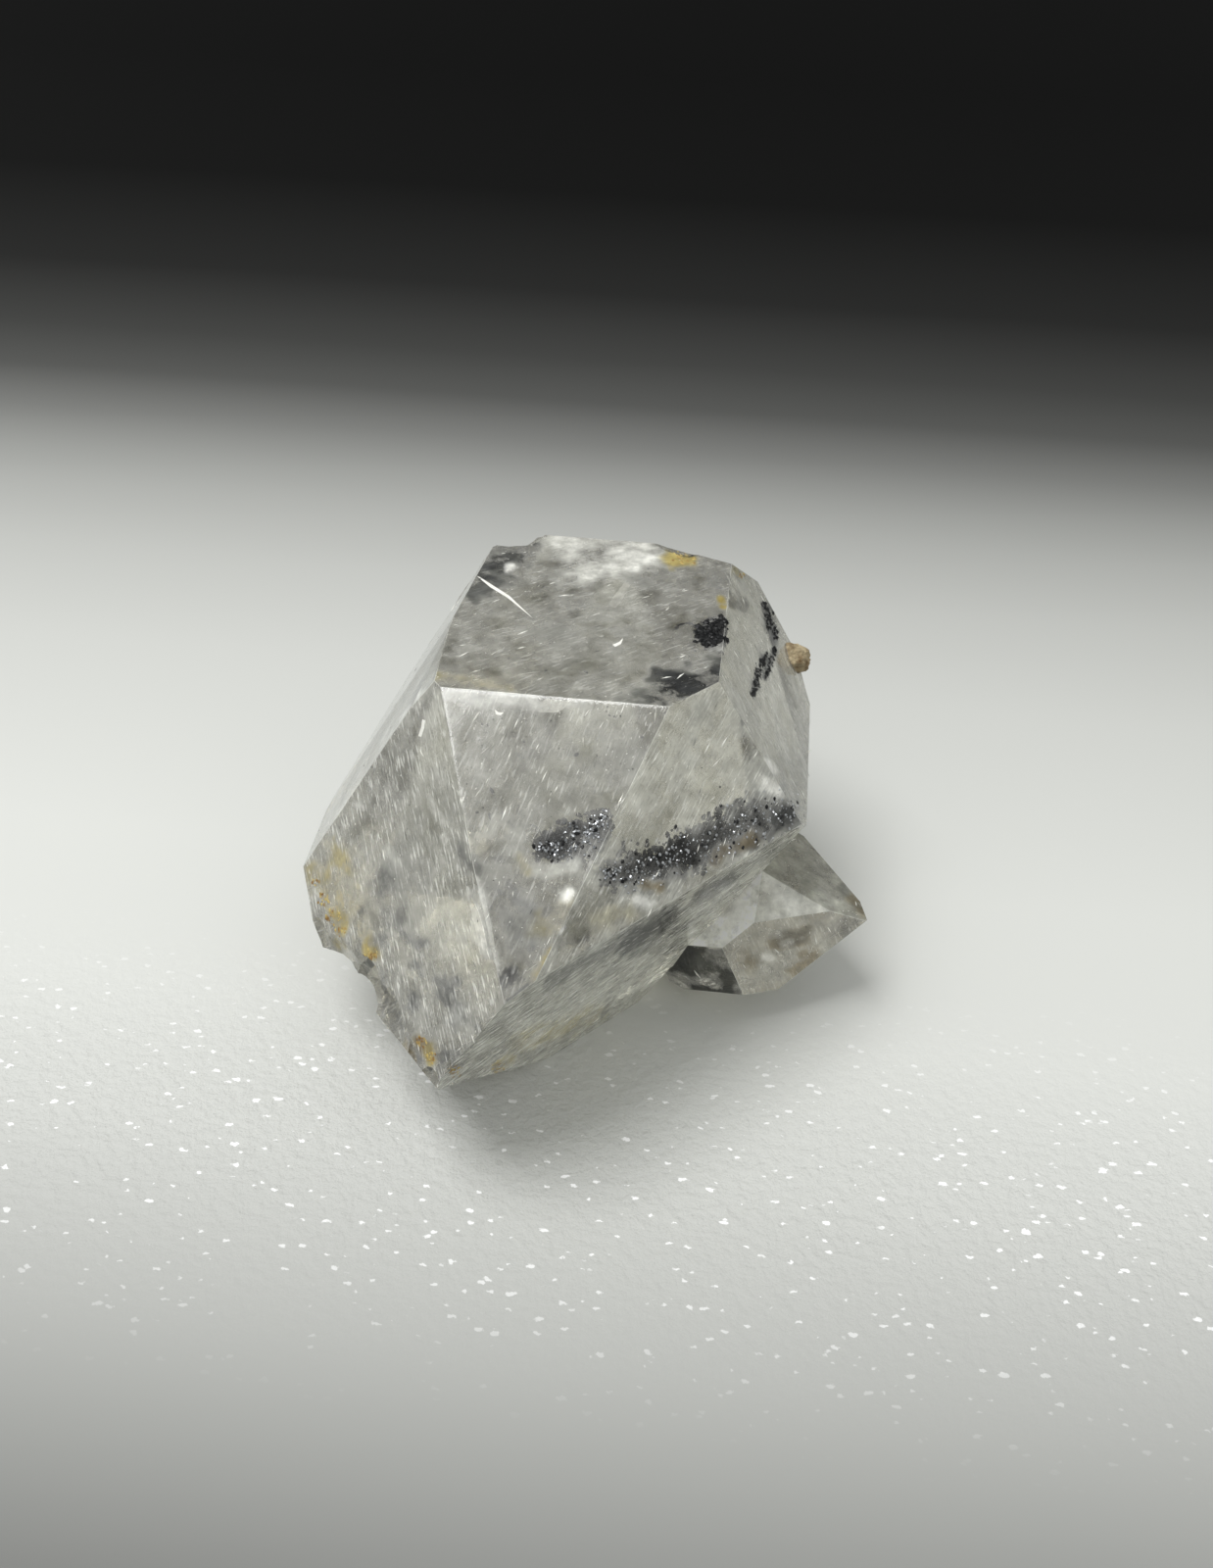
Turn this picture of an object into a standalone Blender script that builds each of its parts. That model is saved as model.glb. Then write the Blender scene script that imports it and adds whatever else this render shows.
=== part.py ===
"""Herkimer diamond quartz: a large doubly terminated quartz crystal with a small one grown on to it.

The large crystal lies on one of its prism faces with its long axis level, along Y, and its near tip
towards -Y. +Z is up and X runs from its left to its right. The small crystal grows out of the lower
right prism face and points to the right, towards the near side and a little up. The lower left edge
of the near tip is broken, with shell-shaped chips. The origin is under the middle of the whole, on
the plane that it rests on.

A quartz crystal is held here by the distance of each flat face from its centre. Face 0 of a ring of
six has its normal on the crystal's own zero direction, and the others follow every 60 degrees about
the long axis.
"""

import math

import bmesh
import bpy
from mathutils import Matrix, Vector, noise

MM = 0.001

# Names
PART_NAME = "herkimer_diamond_quartz"
CRYSTAL_NAME = "herkimer_crystal"

# Quartz: degrees from the long axis to the normal of a prism face and of a tip face
PRISM_FACE_ANGLE = 90.0
TIP_FACE_ANGLE = 51.79
FACES_AROUND = 6

# Places in a ring of six faces, from the top face round by the left, as the large crystal lies
TOP, UPPER_LEFT, LOWER_LEFT, UNDER, LOWER_RIGHT, UPPER_RIGHT = range(FACES_AROUND)

# Large crystal, in millimetres: the distance of each face from its centre
LARGE_PRISM = (6.12, 7.82, 11.85, 11.30, 7.82, 7.28)
LARGE_NEAR_TIP = (8.14, 9.35, 13.50, 13.13, 8.05, 7.93)
LARGE_FAR_TIP = (8.62, 8.75, 9.60, 11.30, 9.30, 10.08)
LARGE_CENTRE = (-0.22, -0.26, LARGE_PRISM[UNDER])
LARGE_AXIS_AZIMUTH = -90.0
LARGE_AXIS_RISE = 0.0
LARGE_ROLL = 0.0

# Faces that are not on the six-fold rings: degrees round the axis, degrees from it, distance
LARGE_EXTRA_FACES = (
    (60.0, 95.0, 7.73),    # the back of the upper left prism face leans away a little
    (56.2, 87.8, 8.03),    # narrow wedge beside the top face's near left corner
    (343.7, 126.9, 8.78),  # bevel across the far right corner of the top face
    (61.4, 53.9, 9.12),    # growth hill on the left tip face, which bows its edge to the right
)

# Small crystal, in millimetres and degrees, placed from the large crystal's centre
SMALL_PRISM = (2.20, 2.30, 5.40, 3.70, 2.14, 1.80)
SMALL_NEAR_TIP = (2.49, 4.05, 4.90, 3.39, 2.54, 1.48)
SMALL_FAR_TIP = (3.45, 3.45, 5.00, 5.00, 4.20, 3.45)
SMALL_OFFSET = (6.83, -2.29, -7.73)
SMALL_AXIS_AZIMUTH = -20.2
SMALL_AXIS_RISE = 19.2
SMALL_ROLL = 159.8

# Broken edge between the two lower left faces of the near tip: how far along it each chip is, from
# its left end (0) to its near end (1), the chip's radius and how deep it goes in, in millimetres
BROKEN_EDGE_FACES = (UPPER_LEFT, LOWER_LEFT)
BROKEN_EDGE_CHIPS = (
    (0.03, 1.70, 0.50),
    (0.22, 2.10, 0.90),
    (0.42, 1.60, 1.25),
    (0.58, 2.30, 1.00),
    (0.77, 1.30, 0.50),
    (0.98, 0.90, 0.30),
)
# Conchoidal scars on the underside of the broken end: middle from the large crystal's centre, radius
UNDERSIDE_SCARS = (
    ((-9.9, -9.0, -9.3), 3.9),
    ((-12.6, -5.0, -8.0), 3.0),
    ((-6.3, -12.4, -10.6), 3.3),
)
# Chips along the far edge of the top face: distance to the right of the centre, radius, depth
FAR_EDGE_CHIPS = (
    (-4.3, 1.60, 0.85),
    (2.9, 2.30, 0.45),
)
# Shallow pits where the far end grew against the rock: middle from the large centre, radius
CONTACT_PITS = (
    ((-4.2, 12.4, -3.2), 2.9),
    ((4.6, 12.6, 2.2), 2.4),
)
CHIP_ROUNDNESS = 3       # subdivisions of the ball that cuts a chip
CHIP_ROUGHNESS = 0.16    # of its radius

# Grain of brown rock that sticks to the right back edge: middle from the large centre, half sizes
GRAIN_OFFSET = (7.75, 6.25, 0.95)
GRAIN_HALF_SIZE = (0.62, 0.50, 0.55)
GRAIN_ROUGHNESS = 0.45
GRAIN_ROUNDNESS = 2
LUMPS_ACROSS = 1.6       # bumps and dips over the radius of a ball or grain

# Clear quartz with a faint grey haze
QUARTZ_COLOUR = (0.78, 0.78, 0.76, 1.0)
QUARTZ_ROUGHNESS = 0.06
QUARTZ_IOR = 1.544
QUARTZ_TRANSMISSION = 1.0

# The block that a crystal is cut from is this many times its greatest face distance
BLOCK_FACTOR = 3.0


def clear_scene():
    """Remove whatever the scene holds."""
    for obj in list(bpy.data.objects):
        bpy.data.objects.remove(obj, do_unlink=True)


def new_collection(name):
    """Make a collection in the scene."""
    collection = bpy.data.collections.new(name)
    bpy.context.scene.collection.children.link(collection)
    return collection


def quartz_material():
    """Clear, faintly grey quartz with glassy faces."""
    material = bpy.data.materials.new("clear_quartz")
    material.use_nodes = True
    shader = material.node_tree.nodes["Principled BSDF"]
    shader.inputs["Base Color"].default_value = QUARTZ_COLOUR
    shader.inputs["Roughness"].default_value = QUARTZ_ROUGHNESS
    shader.inputs["Metallic"].default_value = 0.0
    shader.inputs["IOR"].default_value = QUARTZ_IOR
    shader.inputs["Transmission Weight"].default_value = QUARTZ_TRANSMISSION
    return material


def face_normal(around, from_axis):
    """Normal of a crystal face, the long axis being the crystal's own Z, in degrees."""
    around, from_axis = math.radians(around), math.radians(from_axis)
    return Vector((
        math.sin(from_axis) * math.cos(around),
        math.sin(from_axis) * math.sin(around),
        math.cos(from_axis),
    ))


def ring_plane(ring, place, from_axis):
    """One face of a ring of six as its normal and its distance in millimetres."""
    return face_normal(place * 360.0 / FACES_AROUND, from_axis), ring[place]


def quartz_faces(prism, near_tip, far_tip, extra=()):
    """List every face of a doubly terminated crystal as its normal and its distance in millimetres."""
    faces = []
    for ring, from_axis in (
        (prism, PRISM_FACE_ANGLE),
        (near_tip, TIP_FACE_ANGLE),
        (far_tip, 180.0 - TIP_FACE_ANGLE),
    ):
        faces += [ring_plane(ring, place, from_axis) for place in range(FACES_AROUND)]
    for around, from_axis, distance in extra:
        faces.append((face_normal(around, from_axis), distance))
    return faces


def crystal_turn(azimuth, rise, roll):
    """Turn a crystal so that its long axis has this azimuth and rise, rolled about the axis.

    With no roll, and the axis level, face 0 looks up.
    """
    axis_to_x = Matrix(((0.0, 0.0, 1.0), (0.0, -1.0, 0.0), (1.0, 0.0, 0.0))).to_4x4()
    return (
        Matrix.Rotation(math.radians(azimuth), 4, "Z")
        @ Matrix.Rotation(math.radians(-rise), 4, "Y")
        @ Matrix.Rotation(math.radians(roll), 4, "X")
        @ axis_to_x
    )


def cut_flat(bm, normal, distance):
    """Cut away what lies beyond a plane, and close the cut with one flat face."""
    geometry = bm.verts[:] + bm.edges[:] + bm.faces[:]
    cut = bmesh.ops.bisect_plane(
        bm, geom=geometry, dist=1e-9, plane_co=normal * distance, plane_no=normal, clear_outer=True
    )
    rim = [item for item in cut["geom_cut"] if isinstance(item, bmesh.types.BMEdge)]
    if rim:
        bmesh.ops.contextual_create(bm, geom=rim)


def new_object(name, bm, collection, material=None):
    """Make an object from a bmesh, in a collection."""
    mesh = bpy.data.meshes.new(name)
    bm.to_mesh(mesh)
    bm.free()
    if material:
        mesh.materials.append(material)
    obj = bpy.data.objects.new(name, mesh)
    collection.objects.link(obj)
    return obj


def crystal(name, faces, turn, centre, collection, material=None):
    """Cut a block down to the crystal that its faces bound, and put it in its place."""
    bm = bmesh.new()
    size = BLOCK_FACTOR * 2.0 * max(distance for _, distance in faces) * MM
    bmesh.ops.create_cube(bm, size=size)
    for normal, distance in faces:
        cut_flat(bm, normal, distance * MM)
    bmesh.ops.recalc_face_normals(bm, faces=bm.faces[:])
    bm.transform(Matrix.Translation(Vector(centre) * MM) @ turn)
    return new_object(name, bm, collection, material)


def rough_ball(name, middle, half_size, roundness, roughness, collection):
    """A ball or lump whose surface is a little uneven, the same on each run."""
    bm = bmesh.new()
    bmesh.ops.create_icosphere(bm, subdivisions=roundness, radius=1.0)
    place = Vector(middle)
    for vert in bm.verts:
        bump = 1.0 + roughness * noise.noise(vert.co * LUMPS_ACROSS + place)
        vert.co = (place + Vector(half_size) * vert.co * bump) * MM
    return new_object(name, bm, collection)


def combine(target, tool, operation):
    """Join a tool to an object, or cut it away from the object."""
    modifier = target.modifiers.new(tool.name, "BOOLEAN")
    modifier.object = tool
    modifier.operation = operation
    modifier.solver = "EXACT"
    tool.hide_render = True
    tool.display_type = "WIRE"


def meeting_point(planes, turn):
    """Point where three planes of a crystal meet, in millimetres from its centre."""
    rows = [turn.to_3x3() @ normal for normal, _ in planes]
    return Matrix(rows).inverted() @ Vector([distance for _, distance in planes])


def broken_edge_chips(turn, centre, collection):
    """Shell-shaped chips along the broken lower left edge of the near tip."""
    upper, lower = (ring_plane(LARGE_NEAR_TIP, k, TIP_FACE_ANGLE) for k in BROKEN_EDGE_FACES)
    left_prism = ring_plane(LARGE_PRISM, LOWER_LEFT, PRISM_FACE_ANGLE)
    right_tip = ring_plane(LARGE_NEAR_TIP, LOWER_RIGHT, TIP_FACE_ANGLE)
    start = meeting_point((upper, lower, left_prism), turn)
    end = meeting_point((upper, lower, right_tip), turn)
    outward = (turn.to_3x3() @ (upper[0] + lower[0])).normalized()
    chips = []
    for k, (along, radius, depth) in enumerate(BROKEN_EDGE_CHIPS):
        middle = Vector(centre) + start.lerp(end, along) + outward * (radius - depth)
        chips.append(rough_ball(
            f"edge_chip_{k}", middle, (radius,) * 3, CHIP_ROUNDNESS, CHIP_ROUGHNESS, collection
        ))
    return chips


def far_edge_chips(turn, centre, collection):
    """Chips along the far edge of the top face."""
    top = ring_plane(LARGE_PRISM, TOP, PRISM_FACE_ANGLE)
    far = ring_plane(LARGE_FAR_TIP, TOP, 180.0 - TIP_FACE_ANGLE)
    outward = (turn.to_3x3() @ (top[0] + far[0])).normalized()
    chips = []
    for k, (across, radius, depth) in enumerate(FAR_EDGE_CHIPS):
        side = (turn.inverted().to_3x3() @ Vector((1.0, 0.0, 0.0)), across)
        edge = meeting_point((top, far, side), turn)
        middle = Vector(centre) + edge + outward * (radius - depth)
        chips.append(rough_ball(
            f"far_chip_{k}", middle, (radius,) * 3, CHIP_ROUNDNESS, CHIP_ROUGHNESS, collection
        ))
    return chips


def scars(name, places, centre, collection):
    """Shallow scars given by the middle of the ball that cuts each and its radius."""
    balls = []
    for k, (offset, radius) in enumerate(places):
        middle = Vector(centre) + Vector(offset)
        balls.append(rough_ball(
            f"{name}_{k}", middle, (radius,) * 3, CHIP_ROUNDNESS, CHIP_ROUGHNESS, collection
        ))
    return balls


def build():
    """Build the crystal group."""
    clear_scene()
    parts = new_collection(PART_NAME)
    tools = new_collection("tools")
    large_turn = crystal_turn(LARGE_AXIS_AZIMUTH, LARGE_AXIS_RISE, LARGE_ROLL)
    large = crystal(
        CRYSTAL_NAME,
        quartz_faces(LARGE_PRISM, LARGE_NEAR_TIP, LARGE_FAR_TIP, LARGE_EXTRA_FACES),
        large_turn, LARGE_CENTRE, parts, quartz_material(),
    )
    small = crystal(
        "small_crystal",
        quartz_faces(SMALL_PRISM, SMALL_NEAR_TIP, SMALL_FAR_TIP),
        crystal_turn(SMALL_AXIS_AZIMUTH, SMALL_AXIS_RISE, SMALL_ROLL),
        Vector(LARGE_CENTRE) + Vector(SMALL_OFFSET), tools,
    )
    grain = rough_ball(
        "rock_grain", Vector(LARGE_CENTRE) + Vector(GRAIN_OFFSET), GRAIN_HALF_SIZE,
        GRAIN_ROUNDNESS, GRAIN_ROUGHNESS, tools,
    )
    for cutter in (
        broken_edge_chips(large_turn, LARGE_CENTRE, tools)
        + far_edge_chips(large_turn, LARGE_CENTRE, tools)
        + scars("underside_scar", UNDERSIDE_SCARS, LARGE_CENTRE, tools)
        + scars("contact_pit", CONTACT_PITS, LARGE_CENTRE, tools)
    ):
        combine(large, cutter, "DIFFERENCE")
    combine(large, small, "UNION")
    combine(large, grain, "UNION")


build()
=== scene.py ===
"""Looks of a herkimer diamond: clear quartz with black grains, flecks, veils, bubbles and iron stain in it.

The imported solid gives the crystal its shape. Here a fine copy of it takes its place, with rounded edges
and growth relief, and everything that grew inside the quartz or sticks to it is modelled in or on that
copy. A thing seen through a face is placed by where it shows in the photograph: the line of sight is
bent at the face as quartz bends it, and followed down to the thing's depth.
"""

import logging
import math
from dataclasses import dataclass, field
from enum import Enum

import bmesh
import bpy
import numpy as np
from mathutils import Matrix, Quaternion, Vector, noise
from mathutils.bvhtree import BVHTree


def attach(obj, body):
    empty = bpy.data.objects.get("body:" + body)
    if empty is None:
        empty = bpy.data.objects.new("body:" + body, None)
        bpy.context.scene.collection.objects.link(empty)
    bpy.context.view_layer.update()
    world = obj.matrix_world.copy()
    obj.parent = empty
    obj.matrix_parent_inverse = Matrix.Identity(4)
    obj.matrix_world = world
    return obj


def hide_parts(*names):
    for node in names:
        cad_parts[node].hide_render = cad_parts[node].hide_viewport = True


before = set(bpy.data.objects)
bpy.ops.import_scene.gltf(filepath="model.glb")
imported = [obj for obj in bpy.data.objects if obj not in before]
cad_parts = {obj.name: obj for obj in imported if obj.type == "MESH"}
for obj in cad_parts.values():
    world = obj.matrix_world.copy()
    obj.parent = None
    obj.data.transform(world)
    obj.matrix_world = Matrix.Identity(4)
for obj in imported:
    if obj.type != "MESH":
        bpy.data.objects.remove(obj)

log = logging.getLogger("herkimer")

MM = 0.001
CRYSTAL_NODE = "herkimer_crystal"
BODY = "root"

Pixel = tuple[float, float]

QUARTZ_IOR = 1.544
TIP_FACE_ANGLE = 51.79      # degrees from the long axis to the normal of a tip face
FAR_TIP_FACE_ANGLE = 180.0 - TIP_FACE_ANGLE
PRISM_FACE_ANGLE = 90.0


def linear(hex_colour: str) -> tuple[float, float, float, float]:
    """Turn an sRGB hex colour into linear values.

    Args:
        hex_colour: Six hex digits, with or without a hash sign.

    Returns:
        Red, green, blue and an alpha of 1.
    """
    digits = hex_colour.lstrip("#")
    channels = [int(digits[i:i + 2], 16) / 255.0 for i in (0, 2, 4)]
    curve = [c / 12.92 if c <= 0.04045 else ((c + 0.055) / 1.055) ** 2.4 for c in channels]
    return (curve[0], curve[1], curve[2], 1.0)


def add_node(
    tree: bpy.types.NodeTree,
    kind: str,
    settings: dict[str, object] | None = None,
    inputs: dict[object, object] | None = None,
) -> bpy.types.Node:
    """Add a node with its settings, values and links.

    Args:
        tree: Node tree that gets the node.
        kind: Blender's name for the node type.
        settings: Properties of the node itself.
        inputs: Value or output socket for each input, by name or number.

    Returns:
        The new node.
    """
    node = tree.nodes.new(kind)
    for key, value in (settings or {}).items():
        setattr(node, key, value)
    for key, value in (inputs or {}).items():
        if isinstance(value, bpy.types.NodeSocket):
            tree.links.new(value, node.inputs[key])
        else:
            node.inputs[key].default_value = value
    return node


def set_ramp(ramp_node: bpy.types.Node, stops: list[tuple[float, str]]) -> None:
    """Set the stops of a colour ramp.

    Args:
        ramp_node: Colour ramp node.
        stops: Place from 0 to 1 and hex colour of each stop.
    """
    elements = ramp_node.color_ramp.elements
    while len(elements) > 1:
        elements.remove(elements[-1])
    for k, (place, colour) in enumerate(stops):
        element = elements[0] if k == 0 else elements.new(place)
        element.position = place
        element.color = linear(colour)


def new_material(name: str) -> tuple[bpy.types.Material, bpy.types.NodeTree, bpy.types.Node]:
    """Make a node material.

    Args:
        name: Name of the material.

    Returns:
        The material, its node tree and its Principled node.
    """
    material = bpy.data.materials.new(name)
    material.use_nodes = True
    tree = material.node_tree
    return material, tree, tree.nodes["Principled BSDF"]


def object_from(name: str, bm: bmesh.types.BMesh, material: bpy.types.Material) -> bpy.types.Object:
    """Make an object from a bmesh, which is freed.

    Args:
        name: Name of the piece.
        bm: Mesh in the part's frame, in metres.
        material: Finish of the piece.

    Returns:
        The object, at the origin.
    """
    mesh = bpy.data.meshes.new(name)
    bm.to_mesh(mesh)
    bm.free()
    mesh.materials.append(material)
    obj = bpy.data.objects.new(name, mesh)
    bpy.context.scene.collection.objects.link(obj)
    return obj


def joined_copies(
    name: str,
    shape: bmesh.types.BMesh,
    places: list[Matrix],
    material: bpy.types.Material,
) -> bpy.types.Object:
    """Join many copies of one small shape into one mesh.

    Args:
        name: Name of the piece.
        shape: The shape, about one unit in radius; it is freed.
        places: Matrix that puts each copy in the part's frame.
        material: Finish of the piece.

    Returns:
        The object, at the origin.
    """
    shape.verts.index_update()
    points = np.array([[*v.co, 1.0] for v in shape.verts])
    corners = [[v.index for v in f.verts] for f in shape.faces]
    shape.free()
    stack = np.array([[list(row) for row in place] for place in places])
    placed = np.einsum("nij,kj->nki", stack, points)[:, :, :3].reshape(-1, 3)
    faces = [
        tuple(c + copy * len(points) for c in corner)
        for copy in range(len(places)) for corner in corners
    ]
    mesh = bpy.data.meshes.new(name)
    mesh.from_pydata(placed.tolist(), [], faces)
    mesh.materials.append(material)
    obj = bpy.data.objects.new(name, mesh)
    bpy.context.scene.collection.objects.link(obj)
    return obj


def ride(piece: bpy.types.Object) -> bpy.types.Object:
    """Let a piece move with the crystal, and log how many faces it has."""
    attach(piece, BODY)
    log.info("%s: %d faces", piece.name, len(piece.data.polygons))
    return piece


@dataclass(frozen=True)
class PhotoCamera:
    """The photograph's camera, in the part's frame."""

    place_mm: tuple[float, float, float] = (5.39, -51.17, 49.59)
    azimuth_deg: float = 5.72       # it looks this much to the left of +Y
    pitch_deg: float = 38.13        # and this much down
    roll_deg: float = 1.59
    width_px: int = 1238
    height_px: int = 1600
    focal_px: float = 1600.0
    sensor_mm: float = 24.0
    nearest_m: float = 0.002

    def axes(self) -> tuple[Vector, Vector, Vector]:
        """Directions to the right of the picture, up it, and into it."""
        azimuth, pitch, roll = (
            math.radians(a) for a in (self.azimuth_deg, self.pitch_deg, self.roll_deg)
        )
        into = Vector((
            -math.sin(azimuth) * math.cos(pitch),
            math.cos(azimuth) * math.cos(pitch),
            -math.sin(pitch),
        ))
        level = into.cross(Vector((0.0, 0.0, 1.0))).normalized()
        right = level * math.cos(roll) + level.cross(into) * math.sin(roll)
        return right, right.cross(into), into

    def place(self) -> Vector:
        """Where the camera stands, in metres."""
        return Vector(self.place_mm) * MM

    def sight(self, pixel: Pixel) -> Vector:
        """Direction of the line of sight through a pixel of the photograph."""
        right, up, into = self.axes()
        across = (pixel[0] - self.width_px / 2) / self.focal_px
        down = (pixel[1] - self.height_px / 2) / self.focal_px
        return (into + right * across - up * down).normalized()

    def pixels(self, points: np.ndarray) -> np.ndarray:
        """Pixels of the photograph at which points in metres show."""
        right, up, into = (np.array(axis) for axis in self.axes())
        away = points - np.array(self.place())
        depth = away @ into
        return np.stack([
            self.width_px / 2 + self.focal_px * (away @ right) / depth,
            self.height_px / 2 - self.focal_px * (away @ up) / depth,
        ], axis=1)

    def add_to_scene(self) -> bpy.types.Object:
        """Make the camera and make it the scene's own."""
        data = bpy.data.cameras.new("photo_camera")
        data.sensor_fit = "VERTICAL"
        data.sensor_height = self.sensor_mm
        data.sensor_width = self.sensor_mm * self.width_px / self.height_px
        data.lens = self.sensor_mm * self.focal_px / self.height_px
        data.clip_start = self.nearest_m
        camera = bpy.data.objects.new("photo_camera", data)
        right, up, into = self.axes()
        turn = Matrix((right, up, -into)).transposed().to_4x4()
        camera.matrix_world = Matrix.Translation(self.place()) @ turn
        bpy.context.scene.collection.objects.link(camera)
        bpy.context.scene.camera = camera
        return camera


class Crystal(Enum):
    """The two crystals: azimuth and rise of the long axis and roll about it, in degrees."""

    LARGE = (-90.0, 0.0, 0.0)
    SMALL = (-20.2, 19.2, 159.8)

    def turn(self) -> Matrix:
        """Rotation from the crystal's own frame, its long axis along Z, to the part's frame."""
        azimuth, rise, roll = (math.radians(a) for a in self.value)
        axis_to_x = Matrix(((0.0, 0.0, 1.0), (0.0, -1.0, 0.0), (1.0, 0.0, 0.0)))
        return (
            Matrix.Rotation(azimuth, 3, "Z") @ Matrix.Rotation(-rise, 3, "Y")
            @ Matrix.Rotation(roll, 3, "X") @ axis_to_x
        )


class Face(Enum):
    """Faces of the crystals: degrees round the long axis and degrees from it."""

    TOP = (Crystal.LARGE, 0.0, PRISM_FACE_ANGLE)
    UPPER_LEFT = (Crystal.LARGE, 60.0, PRISM_FACE_ANGLE)
    LOWER_LEFT = (Crystal.LARGE, 120.0, PRISM_FACE_ANGLE)
    UNDER = (Crystal.LARGE, 180.0, PRISM_FACE_ANGLE)
    LOWER_RIGHT = (Crystal.LARGE, 240.0, PRISM_FACE_ANGLE)
    UPPER_RIGHT = (Crystal.LARGE, 300.0, PRISM_FACE_ANGLE)
    NEAR_TOP = (Crystal.LARGE, 0.0, TIP_FACE_ANGLE)
    NEAR_UPPER_LEFT = (Crystal.LARGE, 60.0, TIP_FACE_ANGLE)
    NEAR_LOWER_LEFT = (Crystal.LARGE, 120.0, TIP_FACE_ANGLE)
    NEAR_UNDER = (Crystal.LARGE, 180.0, TIP_FACE_ANGLE)
    NEAR_LOWER_RIGHT = (Crystal.LARGE, 240.0, TIP_FACE_ANGLE)
    NEAR_UPPER_RIGHT = (Crystal.LARGE, 300.0, TIP_FACE_ANGLE)
    FAR_TOP = (Crystal.LARGE, 0.0, FAR_TIP_FACE_ANGLE)
    FAR_UPPER_LEFT = (Crystal.LARGE, 60.0, FAR_TIP_FACE_ANGLE)
    FAR_LOWER_LEFT = (Crystal.LARGE, 120.0, FAR_TIP_FACE_ANGLE)
    FAR_UNDER = (Crystal.LARGE, 180.0, FAR_TIP_FACE_ANGLE)
    FAR_LOWER_RIGHT = (Crystal.LARGE, 240.0, FAR_TIP_FACE_ANGLE)
    FAR_UPPER_RIGHT = (Crystal.LARGE, 300.0, FAR_TIP_FACE_ANGLE)
    SMALL_UPPER = (Crystal.SMALL, 240.0, PRISM_FACE_ANGLE)
    SMALL_UPPER_TIP = (Crystal.SMALL, 240.0, TIP_FACE_ANGLE)
    SMALL_FRONT = (Crystal.SMALL, 300.0, PRISM_FACE_ANGLE)
    SMALL_FRONT_TIP = (Crystal.SMALL, 300.0, TIP_FACE_ANGLE)
    SMALL_BACK = (Crystal.SMALL, 180.0, PRISM_FACE_ANGLE)
    SMALL_BACK_TIP = (Crystal.SMALL, 180.0, TIP_FACE_ANGLE)
    SMALL_LOWER = (Crystal.SMALL, 0.0, PRISM_FACE_ANGLE)
    SMALL_LOWER_TIP = (Crystal.SMALL, 0.0, TIP_FACE_ANGLE)

    def normal(self) -> Vector:
        """Outward normal of the face in the part's frame."""
        crystal, around, from_axis = self.value
        around, from_axis = math.radians(around), math.radians(from_axis)
        return crystal.turn() @ Vector((
            math.sin(from_axis) * math.cos(around),
            math.sin(from_axis) * math.sin(around),
            math.cos(from_axis),
        ))


@dataclass(frozen=True)
class FaceLook:
    """How one face looks. Strengths are shares of the usual strength."""

    at_px: Pixel | None = None      # a pixel of the photograph on the face
    lines_deg: float = 0.0          # slope of its growth lines there, up from the horizontal
    lines: float = 0.5              # height of the growth lines
    silk: float = 0.5               # contrast of the silky threads
    ripple: float = 0.0             # height of the growth ripples
    veil: float = 0.3               # share of light that a cloudy veil under the face scatters
    veil_and_painted_light_hex: str = "#8b8b85"       # colour of that veil, partly painted light and shade on the seen faces
    frost: float = 0.05             # roughness of the face
    flecks: float = 1.0             # how many flecks lie under it

    def strengths(self) -> list[float]:
        """Strengths in the order in which the quartz material reads them."""
        return [self.veil, self.silk, self.lines, self.ripple]


# Faces that met the rock are dull, and those of the small crystal smooth and clear.
HIDDEN_FACE = FaceLook(lines=0.8, silk=0.35, ripple=1.0, veil=0.14, veil_and_painted_light_hex="#d6d6cf", frost=0.22)
SMALL_FACE = FaceLook(lines=0.06, silk=0.05, veil=0.05, frost=0.04, flecks=0.3)
# Rounded edges between seen faces get a painted highlight: a bright veil along them.
ROUNDED_EDGE_PAINTED_HIGHLIGHT = FaceLook(veil=0.50, veil_and_painted_light_hex="#ebebe4", lines=0.0, silk=0.0)
BROKEN_FACE = FaceLook(lines=0.3, silk=0.3, ripple=0.6, veil=0.25, veil_and_painted_light_hex="#a5a499", frost=0.14)
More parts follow.
